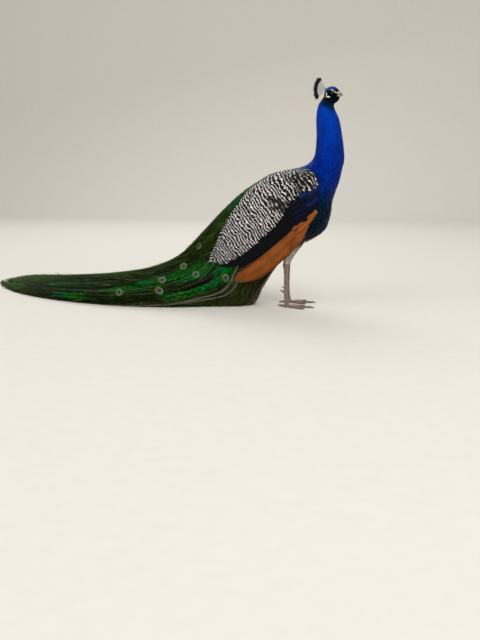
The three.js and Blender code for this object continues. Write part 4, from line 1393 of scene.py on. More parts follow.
# Lines of painted shade in the gap between the upper and the lower barred feathers.
COVERT_SHADE_LINES = [[(-70, 374), (-30, 362), (4, 346)], [(-52, 344), (-14, 338)]]


def line_at(line, share):
    return spline(line, np.asarray(share) * (len(line) - 1))


def between_lines(upper, lower, share, start, end, v):
    """The line at a share of the way between two, from start to end of both, and the gap between them."""
    upper = line_at(upper, start + (end - start) * v)
    lower = line_at(lower, start + (end - start) * v)
    return upper * (1 - share) + lower * share, np.linalg.norm(upper - lower, axis=1)


def quill(coat, middle, half, height, tint, camber, droop, across=9, fade=0.0):
    """One long feather on the wing: a side-view middle line with half widths, laid on the wing's form. The
    side that lies under the next feather is darkened by painted shadow, as much as fade says.
    """
    u = np.linspace(-1, 1, across)[None, :]
    direction = unit(np.gradient(middle, axis=0))
    lateral = pair(direction[:, 1], -direction[:, 0])
    flat = middle[:, None] + (u * half[:, None])[..., None] * lateral[:, None]
    level = height[:, None] + camber * (1 - u**2) - droop * np.maximum(u, 0) ** 2
    top = WING.over(flat[..., 0], flat[..., 1], level)
    run = np.r_[0, np.cumsum(np.linalg.norm(np.diff(middle, axis=0), axis=1))]
    vane = pair(.5 + u * half[:, None] / VANE_MM, (run[-1] - run)[:, None] / VANE_MM)
    t, a = WING.unrolled(middle[:1, 0], middle[:1, 1])
    patch = patch_at((.5 - a / (2 * PI)) % 1, t, u, (run / run[-1])[:, None])
    rim = np.abs(u) + 0 * half[:, None]
    # Painted shadow: the side of the vane that lies under the next feather is darkened, by as much as fade.
    tint = tint[:, None] * (1 - fade * smooth(u, -.35, .45))[..., None]
    plate(coat, top[:, ::-1], tint[:, ::-1], rim[:, ::-1], vane[:, ::-1], patch[:, ::-1], .5)


def round_end(stations, blunt):
    """Half widths of a long feather from 0 to 1: narrow root, even vane, rounded end."""
    v = np.linspace(0, 1, stations)
    return (.55 + .45 * smooth(v, 0, .35)) * np.sqrt(np.clip((1.003 - v) / blunt, 0, 1))


def covert_outline():
    """The closed side-view outline of the barred feathers, rounded."""
    outline = [tuple(p) for p in line_at(COVERTS_UPPER, np.linspace(0, 1, 40))]
    return outline + [tuple(p) for p in line_at(COVERTS_LOWER, np.linspace(1, 0, 40))[1:-1]]


def covert_tips(outline, rng):
    """Side-view tips, headings and sizes: small at the shoulder, larger rows behind, a trimmed edge."""
    down = np.array((WING_AXIS[1], -WING_AXIS[0]))
    found = []
    for first, last, row_step, gap, size in ((-30, SMALL_COVERTS, 6.6, 8.4, .58),
                                             (SMALL_COVERTS, 560, ROW, 13.5, 1)):
        for row in range(int((last - first) / row_step)):
            for k in range(-34, 34):
                reach = first + row * row_step
                tip = WING_ORIGIN + WING_AXIS * reach + down * (k + .5 * (row % 2)) * gap
                found.append((*(tip + rng.normal(0, .7, 2)), rng.normal(0, .07), size, reach))
    found = np.array(found)
    near = edge_gap(found[:, 0], found[:, 1], outline)
    found = found[inside(found[:, 0], found[:, 1], outline) & (near > 3)]
    edge = line_at(COVERTS_UPPER, np.linspace(.03, 1, 110))
    way = unit(np.gradient(edge, axis=0))
    edge = edge + pair(way[:, 1], -way[:, 0]) * -2.5
    turn = (np.arctan2(way[:, 1], way[:, 0]) - WING_HEADING + PI) % (2 * PI) - PI
    reach = (edge - WING_ORIGIN) @ WING_AXIS
    size = np.where(reach < SMALL_COVERTS, .5, .62)
    trim = np.stack([edge[:, 0], edge[:, 1], turn, size, reach], -1)
    return np.concatenate([found, trim[np.abs(turn) < 1.2]])


def build_coverts(look, rng):
    """Barred feathers over the upper wing, their bars running on from one to the next."""
    coat = Coat()
    outline = covert_outline()
    found = covert_tips(outline, rng)
    found = found[np.argsort(-found[:, 4])]
    tips, turn, size, along_wing = found[:, :2], found[:, 2], found[:, 3], found[:, 4]
    n = len(tips)
    heading = WING_HEADING + turn
    ahead = pair(np.cos(heading), np.sin(heading))
    room = np.full(n, 30.0)
    for reach in np.arange(30, 4, -2.0):
        spot = tips - ahead * reach
        room[~inside(spot[:, 0], spot[:, 1], outline)] = reach + 1
    long_ = np.minimum(30 * size, np.maximum(room, 7))[:, None, None]
    wide = np.minimum(21 * size, 9 + 2.2 * edge_gap(tips[:, 0], tips[:, 1], outline))[:, None, None]
    v = np.array([0, .3, .55, .72, .86, .95, 1.0])[None, :, None]
    profile = np.array([.7, .95, 1, .93, .72, .42, 0])[None, :, None]
    u = np.linspace(-1, 1, 5)[None, None, :]
    ahead = ahead[:, None, None, :]
    beside = pair(ahead[..., 1], -ahead[..., 0])
    flat = tips[:, None, None, :] - ahead * ((1 - v) * long_ + .10 * long_ * u**2 * v)[..., None]
    flat = flat + beside * (u * profile * wide / 2)[..., None]
    lift = 2.0 * smooth(edge_gap(tips[:, 0], tips[:, 1], outline), 0, 14)[:, None, None]
    height = .4 + lift - 3.0 * (1 - v) ** 1.2 + 1.2 * v + .5 * (1 - u**2)
    height = height + rng.normal(0, .12, n)[:, None, None]
    grid = WING.over(np.maximum(flat[..., 0], -290), flat[..., 1], height)[:, :, ::-1]
    tail_end = smooth(along_wing, 230, 440)
    tint = varied(blend(look.covert_cream, look.covert_grey, tail_end), rng, .12)
    # Painted shade: coverts near these lines are darkened almost to black.
    gap = np.minimum(*(off_line(tips[:, 0], tips[:, 1], line) for line in COVERT_SHADE_LINES))
    tint = tint * (.04 + .96 * smooth(gap, 4, 13))[:, None]
    mottle = (1 - smooth(along_wing, 60, 200)) - tail_end
    back = (flat - WING_ORIGIN) @ WING_AXIS
    vane = pair(.5 - u * profile * wide / (2 * VANE_MM), (back + .00042 * back**2) / VANE_MM)
    rim = np.broadcast_to(mottle[:, None, None], (n, v.shape[1], 5))
    t, a = WING.unrolled(tips[:, 0], tips[:, 1])
    patch = patch_at(((.5 - a / (2 * PI)) % 1)[:, None, None], t[:, None, None], -u, v, size=.004)
    coat.strips(grid, tint[:, None, None, :], rim, vane, patch)
    finish = barred_finish("covert_feathers", tuple(look.covert_dark), BAR)
    both_sides("coverts_", coat, finish, "covert_feathers", "wing_coverts_")


def build_secondaries(look, rng):
    """Black middle flight feathers showing under the barred ones, blue at the bend of the wing."""
    coat = Coat()
    v = np.linspace(0, 1, 26)
    count = 9
    for i in reversed(range(count)):
        share = .30 + .66 * (i + .5) / count
        start = .04 + .03 * i
        middle, spacing = between_lines(SECONDARIES_UPPER, SECONDARIES_LOWER, share, start, 1, v)
        half = np.maximum(spacing / count * 1.15, 5.5) * round_end(26, .10)
        tint = blend(np.array(look.secondary_blue) * .3, look.secondary_black,
                     smooth(v * 8 + i * .4, .4, 2.4))
        tint = tint * rng.uniform(.45, 1.0)
        quill(coat, middle, half, np.full(26, -1.6 - .42 * i), tint, camber=1.3, droop=.7)
    for row in range(3):
        for k in range(7):
            share = (k + .5 * (row % 2) + .4) / 7
            spot = line_at(SECONDARIES_UPPER, .08 + .11 * row) * (1 - share)
            spot = spot + line_at(SECONDARIES_LOWER, .03 + .10 * row) * share
            w = np.linspace(0, 1, 9)[:, None]
            middle = spot + WING_AXIS * 46 * (w - .45) + rng.normal(0, 1, 2)
            # Random tone of each small blue feather; about one in six is bright, a painted highlight of the
            # blue gloss.
            tone_and_glint = 1.3 if rng.random() < .16 else rng.uniform(.08, .3)
            tint = np.tile(look.secondary_blue, (9, 1)) * tone_and_glint
            quill(coat, middle, 9.0 * round_end(9, .3), 1.2 - 2.6 * (1 - w[:, 0]) - .3 * row, tint, across=5,
                  camber=.7, droop=.3)
    finish = feather_finish("secondary_feathers", .5, 0, edge=.5, barb=1.6, shaft=(.014, .014, .015),
                            gloss=.10,
                            glint=(.6, .6, .8))
    both_sides("secondaries_", coat, finish, "secondary_feathers", "wing_secondaries_")


def build_primaries(look, rng):
    """Rust-coloured outer flight feathers, their coverts and the small thumb feathers at the bend."""
    coat = Coat()
    v = np.linspace(0, 1, 30)
    count = 7
    for i in reversed(range(count)):
        share = .06 + .88 * (i + .5) / count
        end = 1 - .018 * abs(i - 3)
        start = .10 + .035 * i
        middle, spacing = between_lines(PRIMARIES_UPPER, PRIMARIES_LOWER, share, start, end, v)
        half = np.maximum(spacing / count * 1.2, 4.6) * round_end(30, .09)
        tint = blend(look.primary_rust, look.primary_tip, smooth(v, .62, 1) * .8) * rng.uniform(.75, 1.3)
        # Painted shadow darkens the covered side of each primary.
        quill(coat, middle, half, np.full(30, -6.2 - .55 * i), tint, camber=2.6, droop=2.2, fade=.82)
    for i in reversed(range(6)):
        share = .12 + .8 * (i + .5) / 6
        start, end = .06 + .03 * i, .30 + .045 * i + rng.uniform(-.03, .03)
        w = np.linspace(0, 1, 18)
        middle, spacing = between_lines(PRIMARIES_UPPER, PRIMARIES_LOWER, share, start, end, w)
        half = np.maximum(spacing / 6 * 1.05, 4.2) * round_end(18, .3)
        tint = np.tile(np.array(look.primary_rust) * rng.uniform(.85, 1.2), (18, 1))
        # Painted shadow darkens the covered side of each primary covert.
        quill(coat, middle, half, -3.4 - .45 * i - 1.6 * w, tint, camber=1.9, droop=1.5, fade=.7)
    thumb = [((101, 338), (70, 300), (30, 262)), ((97, 342), (62, 308), (18, 274)),
             ((90, 344), (58, 314), (28, 292))]
    for i, line in enumerate(thumb):
        w = np.linspace(0, 1, 20)
        middle = line_at(line, w)
        tint = np.tile(np.array(look.primary_rust) * (1.15 - .12 * i), (20, 1))
        quill(coat, middle, (8.2 - .8 * i) * round_end(20, .16), np.full(20, -.6 - .8 * i), tint, camber=1.6,
              droop=.8)
    finish = feather_finish("primary_feathers", .5, 0, .08, edge=.6, barb=1.5, shaft=(.30, .14, .05),
                            groove=.2,
                            gloss=.2, glint=(1, .7, .45))
    both_sides("primaries_", coat, finish, "primary_feathers", "wing_primaries_")


def build_wing_bed(look):
    """The dark bed that the wing feathers lie on, black like the secondaries; where it shows between them,
    its black is painted shade.
    """
    finish = tinted_finish("wing_down_and_shade", .8, 200.0, contrast=.4)
    for side in ("right", "left"):
        nodes = ["wing_coverts_" + side, "wing_secondaries_" + side, "wing_primaries_" + side]
        made = grown_skin("wing_bed_" + side, nodes, .0042, 6)
        points, normals = places_of(made)
        points = points - normals * 2.8
        t, a = WING.locate(points[:, 0], points[:, 2])
        flank = np.abs(WING.bare(t, a)[:, 1])
        most = np.where(flank > 25, flank - 11, 400)
        points[:, 1] = np.clip(points[:, 1], -most, most)
        move_points(made, points)
        # Black like the secondaries, which also paints the shade in the gaps between the wing feathers.
        paint(made, np.tile(look.secondary_black, (len(points), 1)))
        made.data.materials.append(finish)
        bpy.ops.object.select_all(action="DESELECT")
        settle(made, "secondary_feathers")


TAIL_LENGTH = 176


def build_tail(look, rng):
    """The stiff brown tail feathers that prop the train from below."""
    coat = Coat()
    v = np.linspace(0, 1, 20)
    for layer, j in enumerate([-4, 4, -3, 3, -2, 2, -1, 1, 0]):
        x = np.interp(v, [0, 1], [-20, -121])
        z = np.interp(v, [0, .35, 1], [172, 124, 30.5])
        y = j * np.interp(v, [0, 1], [5.5, 10.5])
        half = 13 * round_end(20, .12)
        u = np.linspace(-1, 1, 9)[None, :]
        lift = (1.2 * (1 - u**2) + .5 * layer - 2.2)
        top = np.stack([x[:, None] + .66 * lift, y[:, None] + u * half[:, None], z[:, None] - .75 * lift],
                       -1)
        tint = np.tile(np.array(look.tail_brown) * rng.uniform(.75, 1.3), (20, 9, 1))
        vane = pair(.5 + u * half[:, None] / VANE_MM, (TAIL_LENGTH - v * TAIL_LENGTH)[:, None] / VANE_MM)
        patch = patch_at(.5 + .006 * j, .55 * MAP_PLANES, u, v[:, None])
        plate(coat, top, tint, np.abs(u) + 0 * half[:, None], vane, patch, .7)
    made = new_object("tail_feathers", coat, feather_finish("tail_feathers", .55, 0, edge=.5, barb=1.6,
                                                            shaft=(.16, .10, .06)))
    settle(made, "tail_feathers", "tail")


# ------------------------------------------------------------------ train
LINE_START, LINE_END = 8.9, 23.6  # the section planes between which a train feather can lie
BARBS_PER_PIECE = 18500
REACH_ASIDE = 334  # millimetres that the coat may reach to either side


def train_edge(a, middle):
    """The section plane where the train ends at the angle a; it reaches furthest in the middle."""
    return middle - 1.7 * (a / 2.4) ** 2


class Line:
    """The middle line of one train feather on the fan's form: places by distance back from its eye."""

    def __init__(self, tip_t, tip_a, root_a, depth):
        self.tip_t, self.tip_a, self.depth = tip_t, tip_a, depth
        self.grid = np.linspace(LINE_START, LINE_END, 200)
        back = np.clip((tip_t - self.grid) / (tip_t - LINE_START), 0, 1)
        self.angles = tip_a + (root_a - tip_a) * back**1.2
        points = FAN.bare(self.grid, self.angles)
        self.run = np.r_[0, np.cumsum(np.linalg.norm(np.diff(points, axis=0), axis=1))]
        self.length = np.interp(tip_t, self.grid, self.run)
        self.fast_a = np.maximum(FAN.frame(self.grid, self.angles)[3], 12)

    def place(self, s, aside):
        """t and a at s millimetres back from the eye and aside of the middle line."""
        t = np.interp(self.length - s, self.run, self.grid)
        a = np.interp(t, self.grid, self.angles)
        return t, a + aside / np.interp(t, self.grid, self.fast_a)

    def level(self, s):
        """Height over the form: proud near the eye and sinking under shorter feathers towards the root."""
        return 1.0 - self.depth * smooth(s, 60, 330)


def lay_barbs(line, s, side, long_, width, angle, curl, rise, rng):
    """Barbs that leave the shaft at s and slant towards the tip, each as three stations with three points
    across: their t, a and height."""
    u = np.array([0, .5, 1.0])[None, :]
    bend = angle[:, None] - curl * u
    back = s[:, None] - long_[:, None] * u * np.cos(bend)
    aside = side[:, None] * long_[:, None] * u * np.sin(bend)
    half = width / 2 * np.array([.9, 1, 0])
    across = np.array([-1, 0, 1])[None, None, :]
    turn = side[:, None] * bend
    ss = back[..., None] + across * (half * np.sin(turn))[..., None]
    xx = aside[..., None] + across * (half * np.cos(turn))[..., None]
    t, a = line.place(ss, xx)
    u = u[..., None]
    jitter = rng.normal(0, .5, len(back))[:, None, None]
    height = line.level(ss) + rise * u**1.5 + .45 * (across == 0) + jitter * u
    return t, a, height


def train_feathers(rng):
    """The eye feathers and the plain ones between them, each as a line with its kind."""
    found = []
    step = between([(11, 66), (14, 92), (18, 112), (23, 100)])
    gap = between([(11, 58), (14, 70), (18, 84), (23, 70)])
    eyes = rows_of_roots(FAN, 11.4, 21.4, step, gap, rng, -1.7, 1.7, .16)
    plain_step = between([(11, 40), (14, 46), (23, 44)])
    plain_gap = between([(11, 34), (14, 38), (20, 40), (23, 26)])
    plain = rows_of_roots(FAN, 11.0, 22.5, plain_step, plain_gap, rng, -2.5, 2.5, .25)
    for eyed, (tips_t, tips_a) in ((True, eyes), (False, plain)):
        for t, a in zip(tips_t, tips_a):
            if t > train_edge(a, 22.5) + rng.normal(0, .22):
                continue
            flank = smooth(abs(a), .7, 1.1) * (1 - smooth(abs(a), 1.8, 2.2)) * smooth(t, 12.2, 13)
            chance = flank * np.interp(t, [12, 14.4, 16, 20, 22], [.95, .85, .30, .16, .03]) + .03
            bright = rng.random() < chance * (1 if eyed else .55)
            depth = rng.uniform(5, 8) - (3.2 if bright else 0)
            open_ = eyed and rng.random() < np.interp(t, [15, 17.5, 19, 22], [1, .8, .35, .15])
            found.append((Line(t, a, a * rng.uniform(.86, 1.02) + rng.normal(0, .03), depth), open_, bright))
    return found


def barbs_of(line, eyed, bright, look, rng):
    """All barbs of one feather: places, colours and roots, ready to gather."""
    reach = min(line.length - 8, rng.uniform(330, 430) if bright else rng.uniform(230, 300))
    end = 1 - .45 * smooth(line.tip_t, 20.2, 22.4)
    spacing = 2.3 if bright else 3.6
    s = np.arange(-16 * end, reach, spacing)
    s = np.concatenate([s, s + spacing / 2]) + rng.normal(0, .35, 2 * len(s))
    side = np.r_[np.ones(len(s) // 2), -np.ones(len(s) // 2)]
    near = 1 - smooth(s, -10, 55)
    if bright:
        long_ = rng.uniform(21, 26) * (1 + .25 * near) * end
        angle = .78 - .30 * near + rng.normal(0, .06, len(s))
        curl, width = .18, 2.2
    else:
        long_ = rng.uniform(36, 46) * (1 - .25 * near) * end
        angle = .56 - .16 * near + rng.normal(0, .09, len(s))
        curl, width = .22, look.barb_width / MM
    long_ = long_ * rng.uniform(.8, 1.12, len(s))
    edge = 1 - smooth(abs(line.tip_a), .12, .55)
    clump = np.floor(s / 8.5 + side * .37)
    angle = angle + .13 * np.sin(clump * 12.9 + line.tip_a * 7)
    rise = 1.5 + 4.5 * edge
    t, a, height = lay_barbs(line, s, side, long_, width, angle, curl, rise, rng)
    if bright:
        base = blend(look.train_emerald, look.train_teal, (1 - smooth(s, 10, 90)) * rng.uniform(.1, .6))
        band = .45 + .55 * smooth(np.sin(s / 3.9 + rng.uniform(0, 6)), -.5, .6)
        tip = base * band[:, None] * 1.15
        root = base * band[:, None] * .45
    else:
        low = 1 - smooth(np.cos(line.tip_a), -.5, .1)
        olive = blend(look.train_olive, look.train_lime, np.clip(edge + .35 * near, 0, 1))
        olive = blend(olive, look.vent_brown, low * .5)
        root = np.tile(look.train_dark, (len(s), 1)) * 1.1
        lit = np.clip(rng.random(len(s)) ** 3.2 + .25 * np.sin(s / 7 + rng.uniform(0, 6)), 0, 1)
        tip = blend(np.array(look.train_dark) * 1.2, olive, lit * (.25 + .55 * edge + .35 * rng.random()))
        halo = 1 - smooth(np.abs(s - 4), 8, 30)
        tip = blend(tip, look.train_lime, halo * (.6 if eyed else .2))
        root = blend(root, look.train_olive, halo * (.6 if eyed else .2))
    root, tip = varied(root, rng, .18), varied(tip, rng, .25)
    return t, a, height, root, tip


def build_train(look, rng):
    """Bed, loose and dense barbs, shafts and eye spots of the long feathers."""
    build_train_bed(look)
    feathers = train_feathers(rng)
    gathered = [barbs_of(line, eyed, bright, look, rng) for line, eyed, bright in feathers]
    t, a, height, root, tip = (np.concatenate([g[i] for g in gathered]) for i in range(5))
    order = np.argsort(t[:, 0, 1], kind="stable")
    finish = feather_finish("train_barbs", .42, .2, edge=.1, barb=3, groove=.12, sparkle=.25, gloss=.2,
                            glint=OLIVE_GLINT)
    pieces = math.ceil(len(order) / BARBS_PER_PIECE)
    for k, part in enumerate(np.array_split(order, pieces)):
        coat = Coat()
        points = FAN.at(t[part], a[part], height[part])
        share = np.array([0, .5, 1])[None, :, None, None]
        tint = root[part][:, None, None, :] * (1 - share) + tip[part][:, None, None, :] * share
        u = np.array([-1, 0, 1])[None, None, :]
        v = np.array([0, .5, 1])[None, :, None]
        patch = patch_at((a[part][:, :1, 1:2] / (2 * PI)) % 1, t[part][:, :1, 1:2], u, v)
        coat.strips(points, tint, 0, pair(.5 + .01 * u, .3 * v), patch)
        settle(new_object("train_barbs_%d" % (k + 1), coat, finish), "train_feathers")
    build_wisps(look, rng)
    build_shafts(look, feathers, rng)
    build_eye_spots(look, [line for line, eyed, _ in feathers if eyed], rng)


def build_wisps(look, rng):
    """Loose single barbs that stand off the train's borders and its end."""
    coat = Coat()
    n = 2600
    t = 10.5 + 11.9 * rng.random(n) ** .8
    a = np.where(rng.random(n) < .55, rng.normal(0, .5, n), rng.choice([-1, 1], n) * rng.normal(2.0, .28, n))
    t, a = np.r_[t, rng.uniform(19.4, 22.1, 1100)], np.r_[a, rng.uniform(-1.5, 1.5, 1100)]
    room = REACH_ASIDE - np.abs(FAN.at(t, a, 0 * t)[:, 1] + SHIFT[1] / MM)
    keep = (t < train_edge(a, 22.4)) & (room > 14)
    t, a, room = t[keep], a[keep], room[keep]
    n = len(t)
    end = smooth(t, 20.5, 22.2)
    long_ = np.minimum(rng.uniform(38, 74, n) * (1 - .3 * end), room)
    olive = blend(look.train_dark, look.train_lime, rng.random(n) ** 2)
    turn = np.sign(a) * rng.uniform(.05, .5, n) * (1 - end) * (np.abs(a) > 1) + rng.normal(0, .16, n)
    plumes(coat, FAN, t, a, long_, rng.uniform(1.0, 2.0, n), olive * .7, varied(olive, rng, .3),
           outline=PLUME,
           depth=1, rise=(3 + 15 * rng.random(n) ** 2) * (1 - .55 * end), ridge=.4, turn=turn)
    finish = feather_finish("train_wisps", .5, .1, edge=0, barb=2, groove=0, gloss=.2, glint=OLIVE_GLINT)
    settle(new_object("train_wisps", coat, finish), "train_feathers")


def build_train_bed(look):
    """The dark mass of down and hidden barbs under the long feathers; its near-black is also painted shade,
    deep in the train.
    """
    coat = Coat()
    t = np.linspace(9.3, 21.2, 130)
    a = np.linspace(0, 2 * PI, 72, endpoint=False)
    sink = np.interp(t, [9, 14, 19, 20.3, 21.2], [7, 9, 6.5, 7.5, 13])[:, None]
    ruffle = 1.4 * np.sin(a * 23)[None, :] + 1.0 * np.sin(a * 41 + t[:, None] * .7)
    # Painted shade as well as dark down: the bed takes the near-black train shade colour.
    closed_rings(coat, TRAIN.at(t[:, None], a[None, :], -sink + ruffle), look.train_dark)
    finish = tinted_finish("train_down_and_shade", .75, 90.0, contrast=.5)
    made = new_object("train_bed", coat, finish)
    outwards(made)
    settle(made, "train_feathers", "train_root", "train_middle", "train_end")


def cords(coat, t, a, height, width, tint):
    """Three-sided shafts along lines given as t, a and height at each station."""
    middle = FAN.at(t, a, height)
    along = np.gradient(middle, axis=1)
    _, normal, _, _ = FAN.frame(t, a)
    beside = unit(np.cross(along, normal))
    u = np.array([1, 0, -1])[None, None, :, None]
    half = (width / 2)[..., None, None]
    grid = middle[:, :, None] + beside[:, :, None] * u * half
    grid = grid + normal[:, :, None] * (1 - np.abs(u)) * half * 1.5
    share = np.linspace(0, 1, t.shape[1])[None, :, None]
    patch = patch_at((a[:, :1, None] / (2 * PI)) % 1, t[:, :1, None], u[..., 0], share)
    coat.strips(grid, tint[:, None, None, :], 0, .5, patch)


def build_shafts(look, feathers, rng):
    """The shafts of the eye feathers, and the bare pale ones that run far along the train."""
    coat = Coat()
    v = np.linspace(0, 1, 22)
    rows = []
    for line, eyed, bright in feathers:
        if not eyed and rng.random() < .45:
            continue
        reach = min(line.length - 6, 300)
        s = reach + (6 - reach) * v
        t, a = line.place(s, 0 * s)
        fade = rng.uniform(0, .7) ** 2 if not bright else .12
        tint = blend(look.train_olive, look.shaft_white, fade) * rng.uniform(.5, 1)
        rows.append((t, a, line.level(s) + 1.1, look.shaft_width / MM * (.62 - .38 * v), tint))
    for side in (-1, 1):
        for i in range(8):
            a0 = side * rng.uniform(1.1, 2.25)
            start = rng.uniform(10.3, 12.5)
            stop = rng.uniform(14.5, 22.0)
            t = start + (stop - start) * v
            a = a0 + side * (rng.normal(0, .16) * (v - .4) + .03 * np.sin(v * 5 + i))
            height = 3.2 - 2.2 * v**2 - 6 * (1 - smooth(v, 0, .1)) - 2.5 * smooth(v, .9, 1)
            tint = np.array(look.shaft_white) * rng.uniform(.1, .75)
            rows.append((t, a, height, look.shaft_width / MM * (1.0 - .6 * v) * rng.uniform(.45, .9), tint))
    t, a, height, width, tint = (np.array([r[i] for r in rows]) for i in range(5))
    cords(coat, t, a, height, width, tint)
    finish = tinted_finish("train_shafts", .4, 500.0, contrast=.25)
    settle(new_object("train_shafts", coat, finish), "train_feathers")


def build_eye_spots(look, lines, rng):
    """Round eye spots, each a thin closed disc with a soft notched border over its feather's end."""
    coat = Coat()
    rings = np.array([.34, .62, .86, 1.0])
    around = 56
    phi = np.linspace(0, 2 * PI, around, endpoint=False)
    comb = np.arange(around) % 2
    for line in lines:
        size = np.interp(line.tip_t, [11, 13, 16, 21, 23], [.62, .8, .92, .88, .6]) * rng.uniform(.86, 1.08)
        notch = 1 + (comb * rng.uniform(.10, .34, around) - .08) * (rings[:, None] > .9)
        far = 17.0 * size * rings[:, None] * notch
        x, y = far * np.sin(phi), far * np.cos(phi) * 1.04
        t, a = line.place(np.r_[0.0, y.ravel()], np.r_[0.0, x.ravel()])
        r = np.r_[0, np.repeat(rings, around)]
        height = 2.6 + 1.0 * (1 - r**2)
        top = FAN.at(t, a, height)
        under = FAN.at(t, a, height - .5 - .3 * (1 - r))
        points = np.concatenate([top, under])
        count = len(top)
        i = np.arange(around)
        j = (i + 1) % around
        upper = [np.stack([0 * i, 1 + i, 1 + j], -1)]
        for ring in range(len(rings) - 1):
            p, q = 1 + ring * around + i, 1 + ring * around + j
            upper += [np.stack([p, p + around, q + around], -1), np.stack([p, q + around, q], -1)]
        upper = np.concatenate(upper)
        outer = 1 + (len(rings) - 1) * around
        sides = np.concatenate([np.stack([outer + i, outer + i + count, outer + j + count], -1),
                                np.stack([outer + i, outer + j + count, outer + j], -1)])
        faces = np.concatenate([upper[:, ::-1], upper + count, sides])
        faces = faces if facing_out(points, faces, top[0] - under[0]) else faces[:, ::-1]
        local = pair(.5 + np.r_[0, x.ravel()] / size / VANE_MM, .5 + np.r_[0, y.ravel()] / size / VANE_MM)
        local = np.tile(local, (2, 1))
        spot = np.array(((line.tip_a / (2 * PI)) % 1, line.tip_t / 25))
        marks = np.ones((len(points), 4))
        soft = np.r_[np.ones(len(upper), bool), np.zeros(len(upper) + len(sides), bool)]
        coat.add(points, faces, soft, marks, local, spot + (local - .5) * .06)
    tones = {"gold": look.train_olive, "green": look.train_emerald, "shade": look.train_dark,
             "lime": ink("5f8a10"), "bronze": ink("6b4316"), "cyan": ink("0858a8"), "heart": ink("04062c")}
    finish = eye_spot_finish("train_eye_spots", {name: tuple(tone) for name, tone in tones.items()})
    made = new_object("train_eyes", coat, finish)
    settle(made, "train_feathers")


def facing_out(points, faces, up):
    """True if the first face looks the way of up."""
    a, b, c = points[faces[0]]
    return np.dot(np.cross(b - a, c - a), up) > 0


def build_train_coverts(look, rng):
    """The scaly green feathers that hide the roots of the train, and the olive hair under it."""
    coat = Coat()
    t, a = rows_of_roots(TRAIN, 8.7, 12.6, between([(9, 8), (13, 13)]), between([(9, 10), (13, 12)]), rng,
                         -2.1, 2.1)
    points, _, _, _ = TRAIN.frame(t, a)
    keep = ~under_wing(points, 22)
    t, a = t[keep], a[keep]
    long_ = np.interp(t, [9, 13], [26, 52]) * rng.uniform(.85, 1.15, len(t))
    flank = smooth(np.abs(a), .75, 1.15)
    tint = blend(blend(look.back_green, look.train_olive, smooth(t, 9.6, 11.4)), look.train_emerald, flank)
    plumes(coat, TRAIN, t, a, long_, long_ * .42, varied(tint, rng) * .7, varied(tint, rng) * 1.15,
           depth=3.5,
           rise=1.4, ridge=.5, across=5, turn=rng.normal(0, .08, len(t)))
    finish = feather_finish("train_covert_feathers", .38, .3, edge=.85, barb=1.5, groove=.4,
                            glint=(.1, .8, .3))
    settle(new_object("train_coverts", coat, finish), "train_feathers")
    coat = Coat()
    t, a = rows_of_roots(TRAIN, 9.6, 17.5, between([(9, 9), (18, 16)]), between([(9, 4.6), (18, 6)]), rng,
                         1.75, 2 * PI - 1.75, .4)
    z = TRAIN.bare(t, a)[:, 2]
    keep = z > 2
    t, a = t[keep], a[keep]
    long_ = rng.uniform(45, 75, len(t))
    tint = blend(look.train_olive, look.train_brown, rng.uniform(0, 1, len(t)))
    plumes(coat, TRAIN, t, a, long_, np.full(len(t), 3.4), varied(tint, rng, .3) * .5, varied(tint, rng, .3),
           outline=PLUME, depth=2.5, rise=3.5, ridge=.3, turn=rng.normal(0, .2, len(t)))
    settle(new_object("train_underside", coat, feather_finish("train_hair", .6, .1, edge=0, barb=2)),
           "train_feathers")


# ------------------------------------------------------------------ legs
TOES = {"inner": (26, 56, 3.2), "middle": (-3, 82, 3.2), "outer": (-34, 62, 3.2), "back": (160, 24, 5)}


def scutes(coat, form, t, a, long_, wide, tint, rng, height=.5):
    """Overlapping horny plates on a limb."""
    n = len(t)
    plumes(coat, form, t, a, long_, wide, varied(tint, rng, .10) * .85, varied(tint, rng, .10) * 1.1,
           outline=np.array([(0, .9), (.3, 1), (.7, 1), (.9, .8), (1, 0)]), across=5, depth=.5, rise=height,
           ridge=.35, turn=rng.normal(0, .03, n))


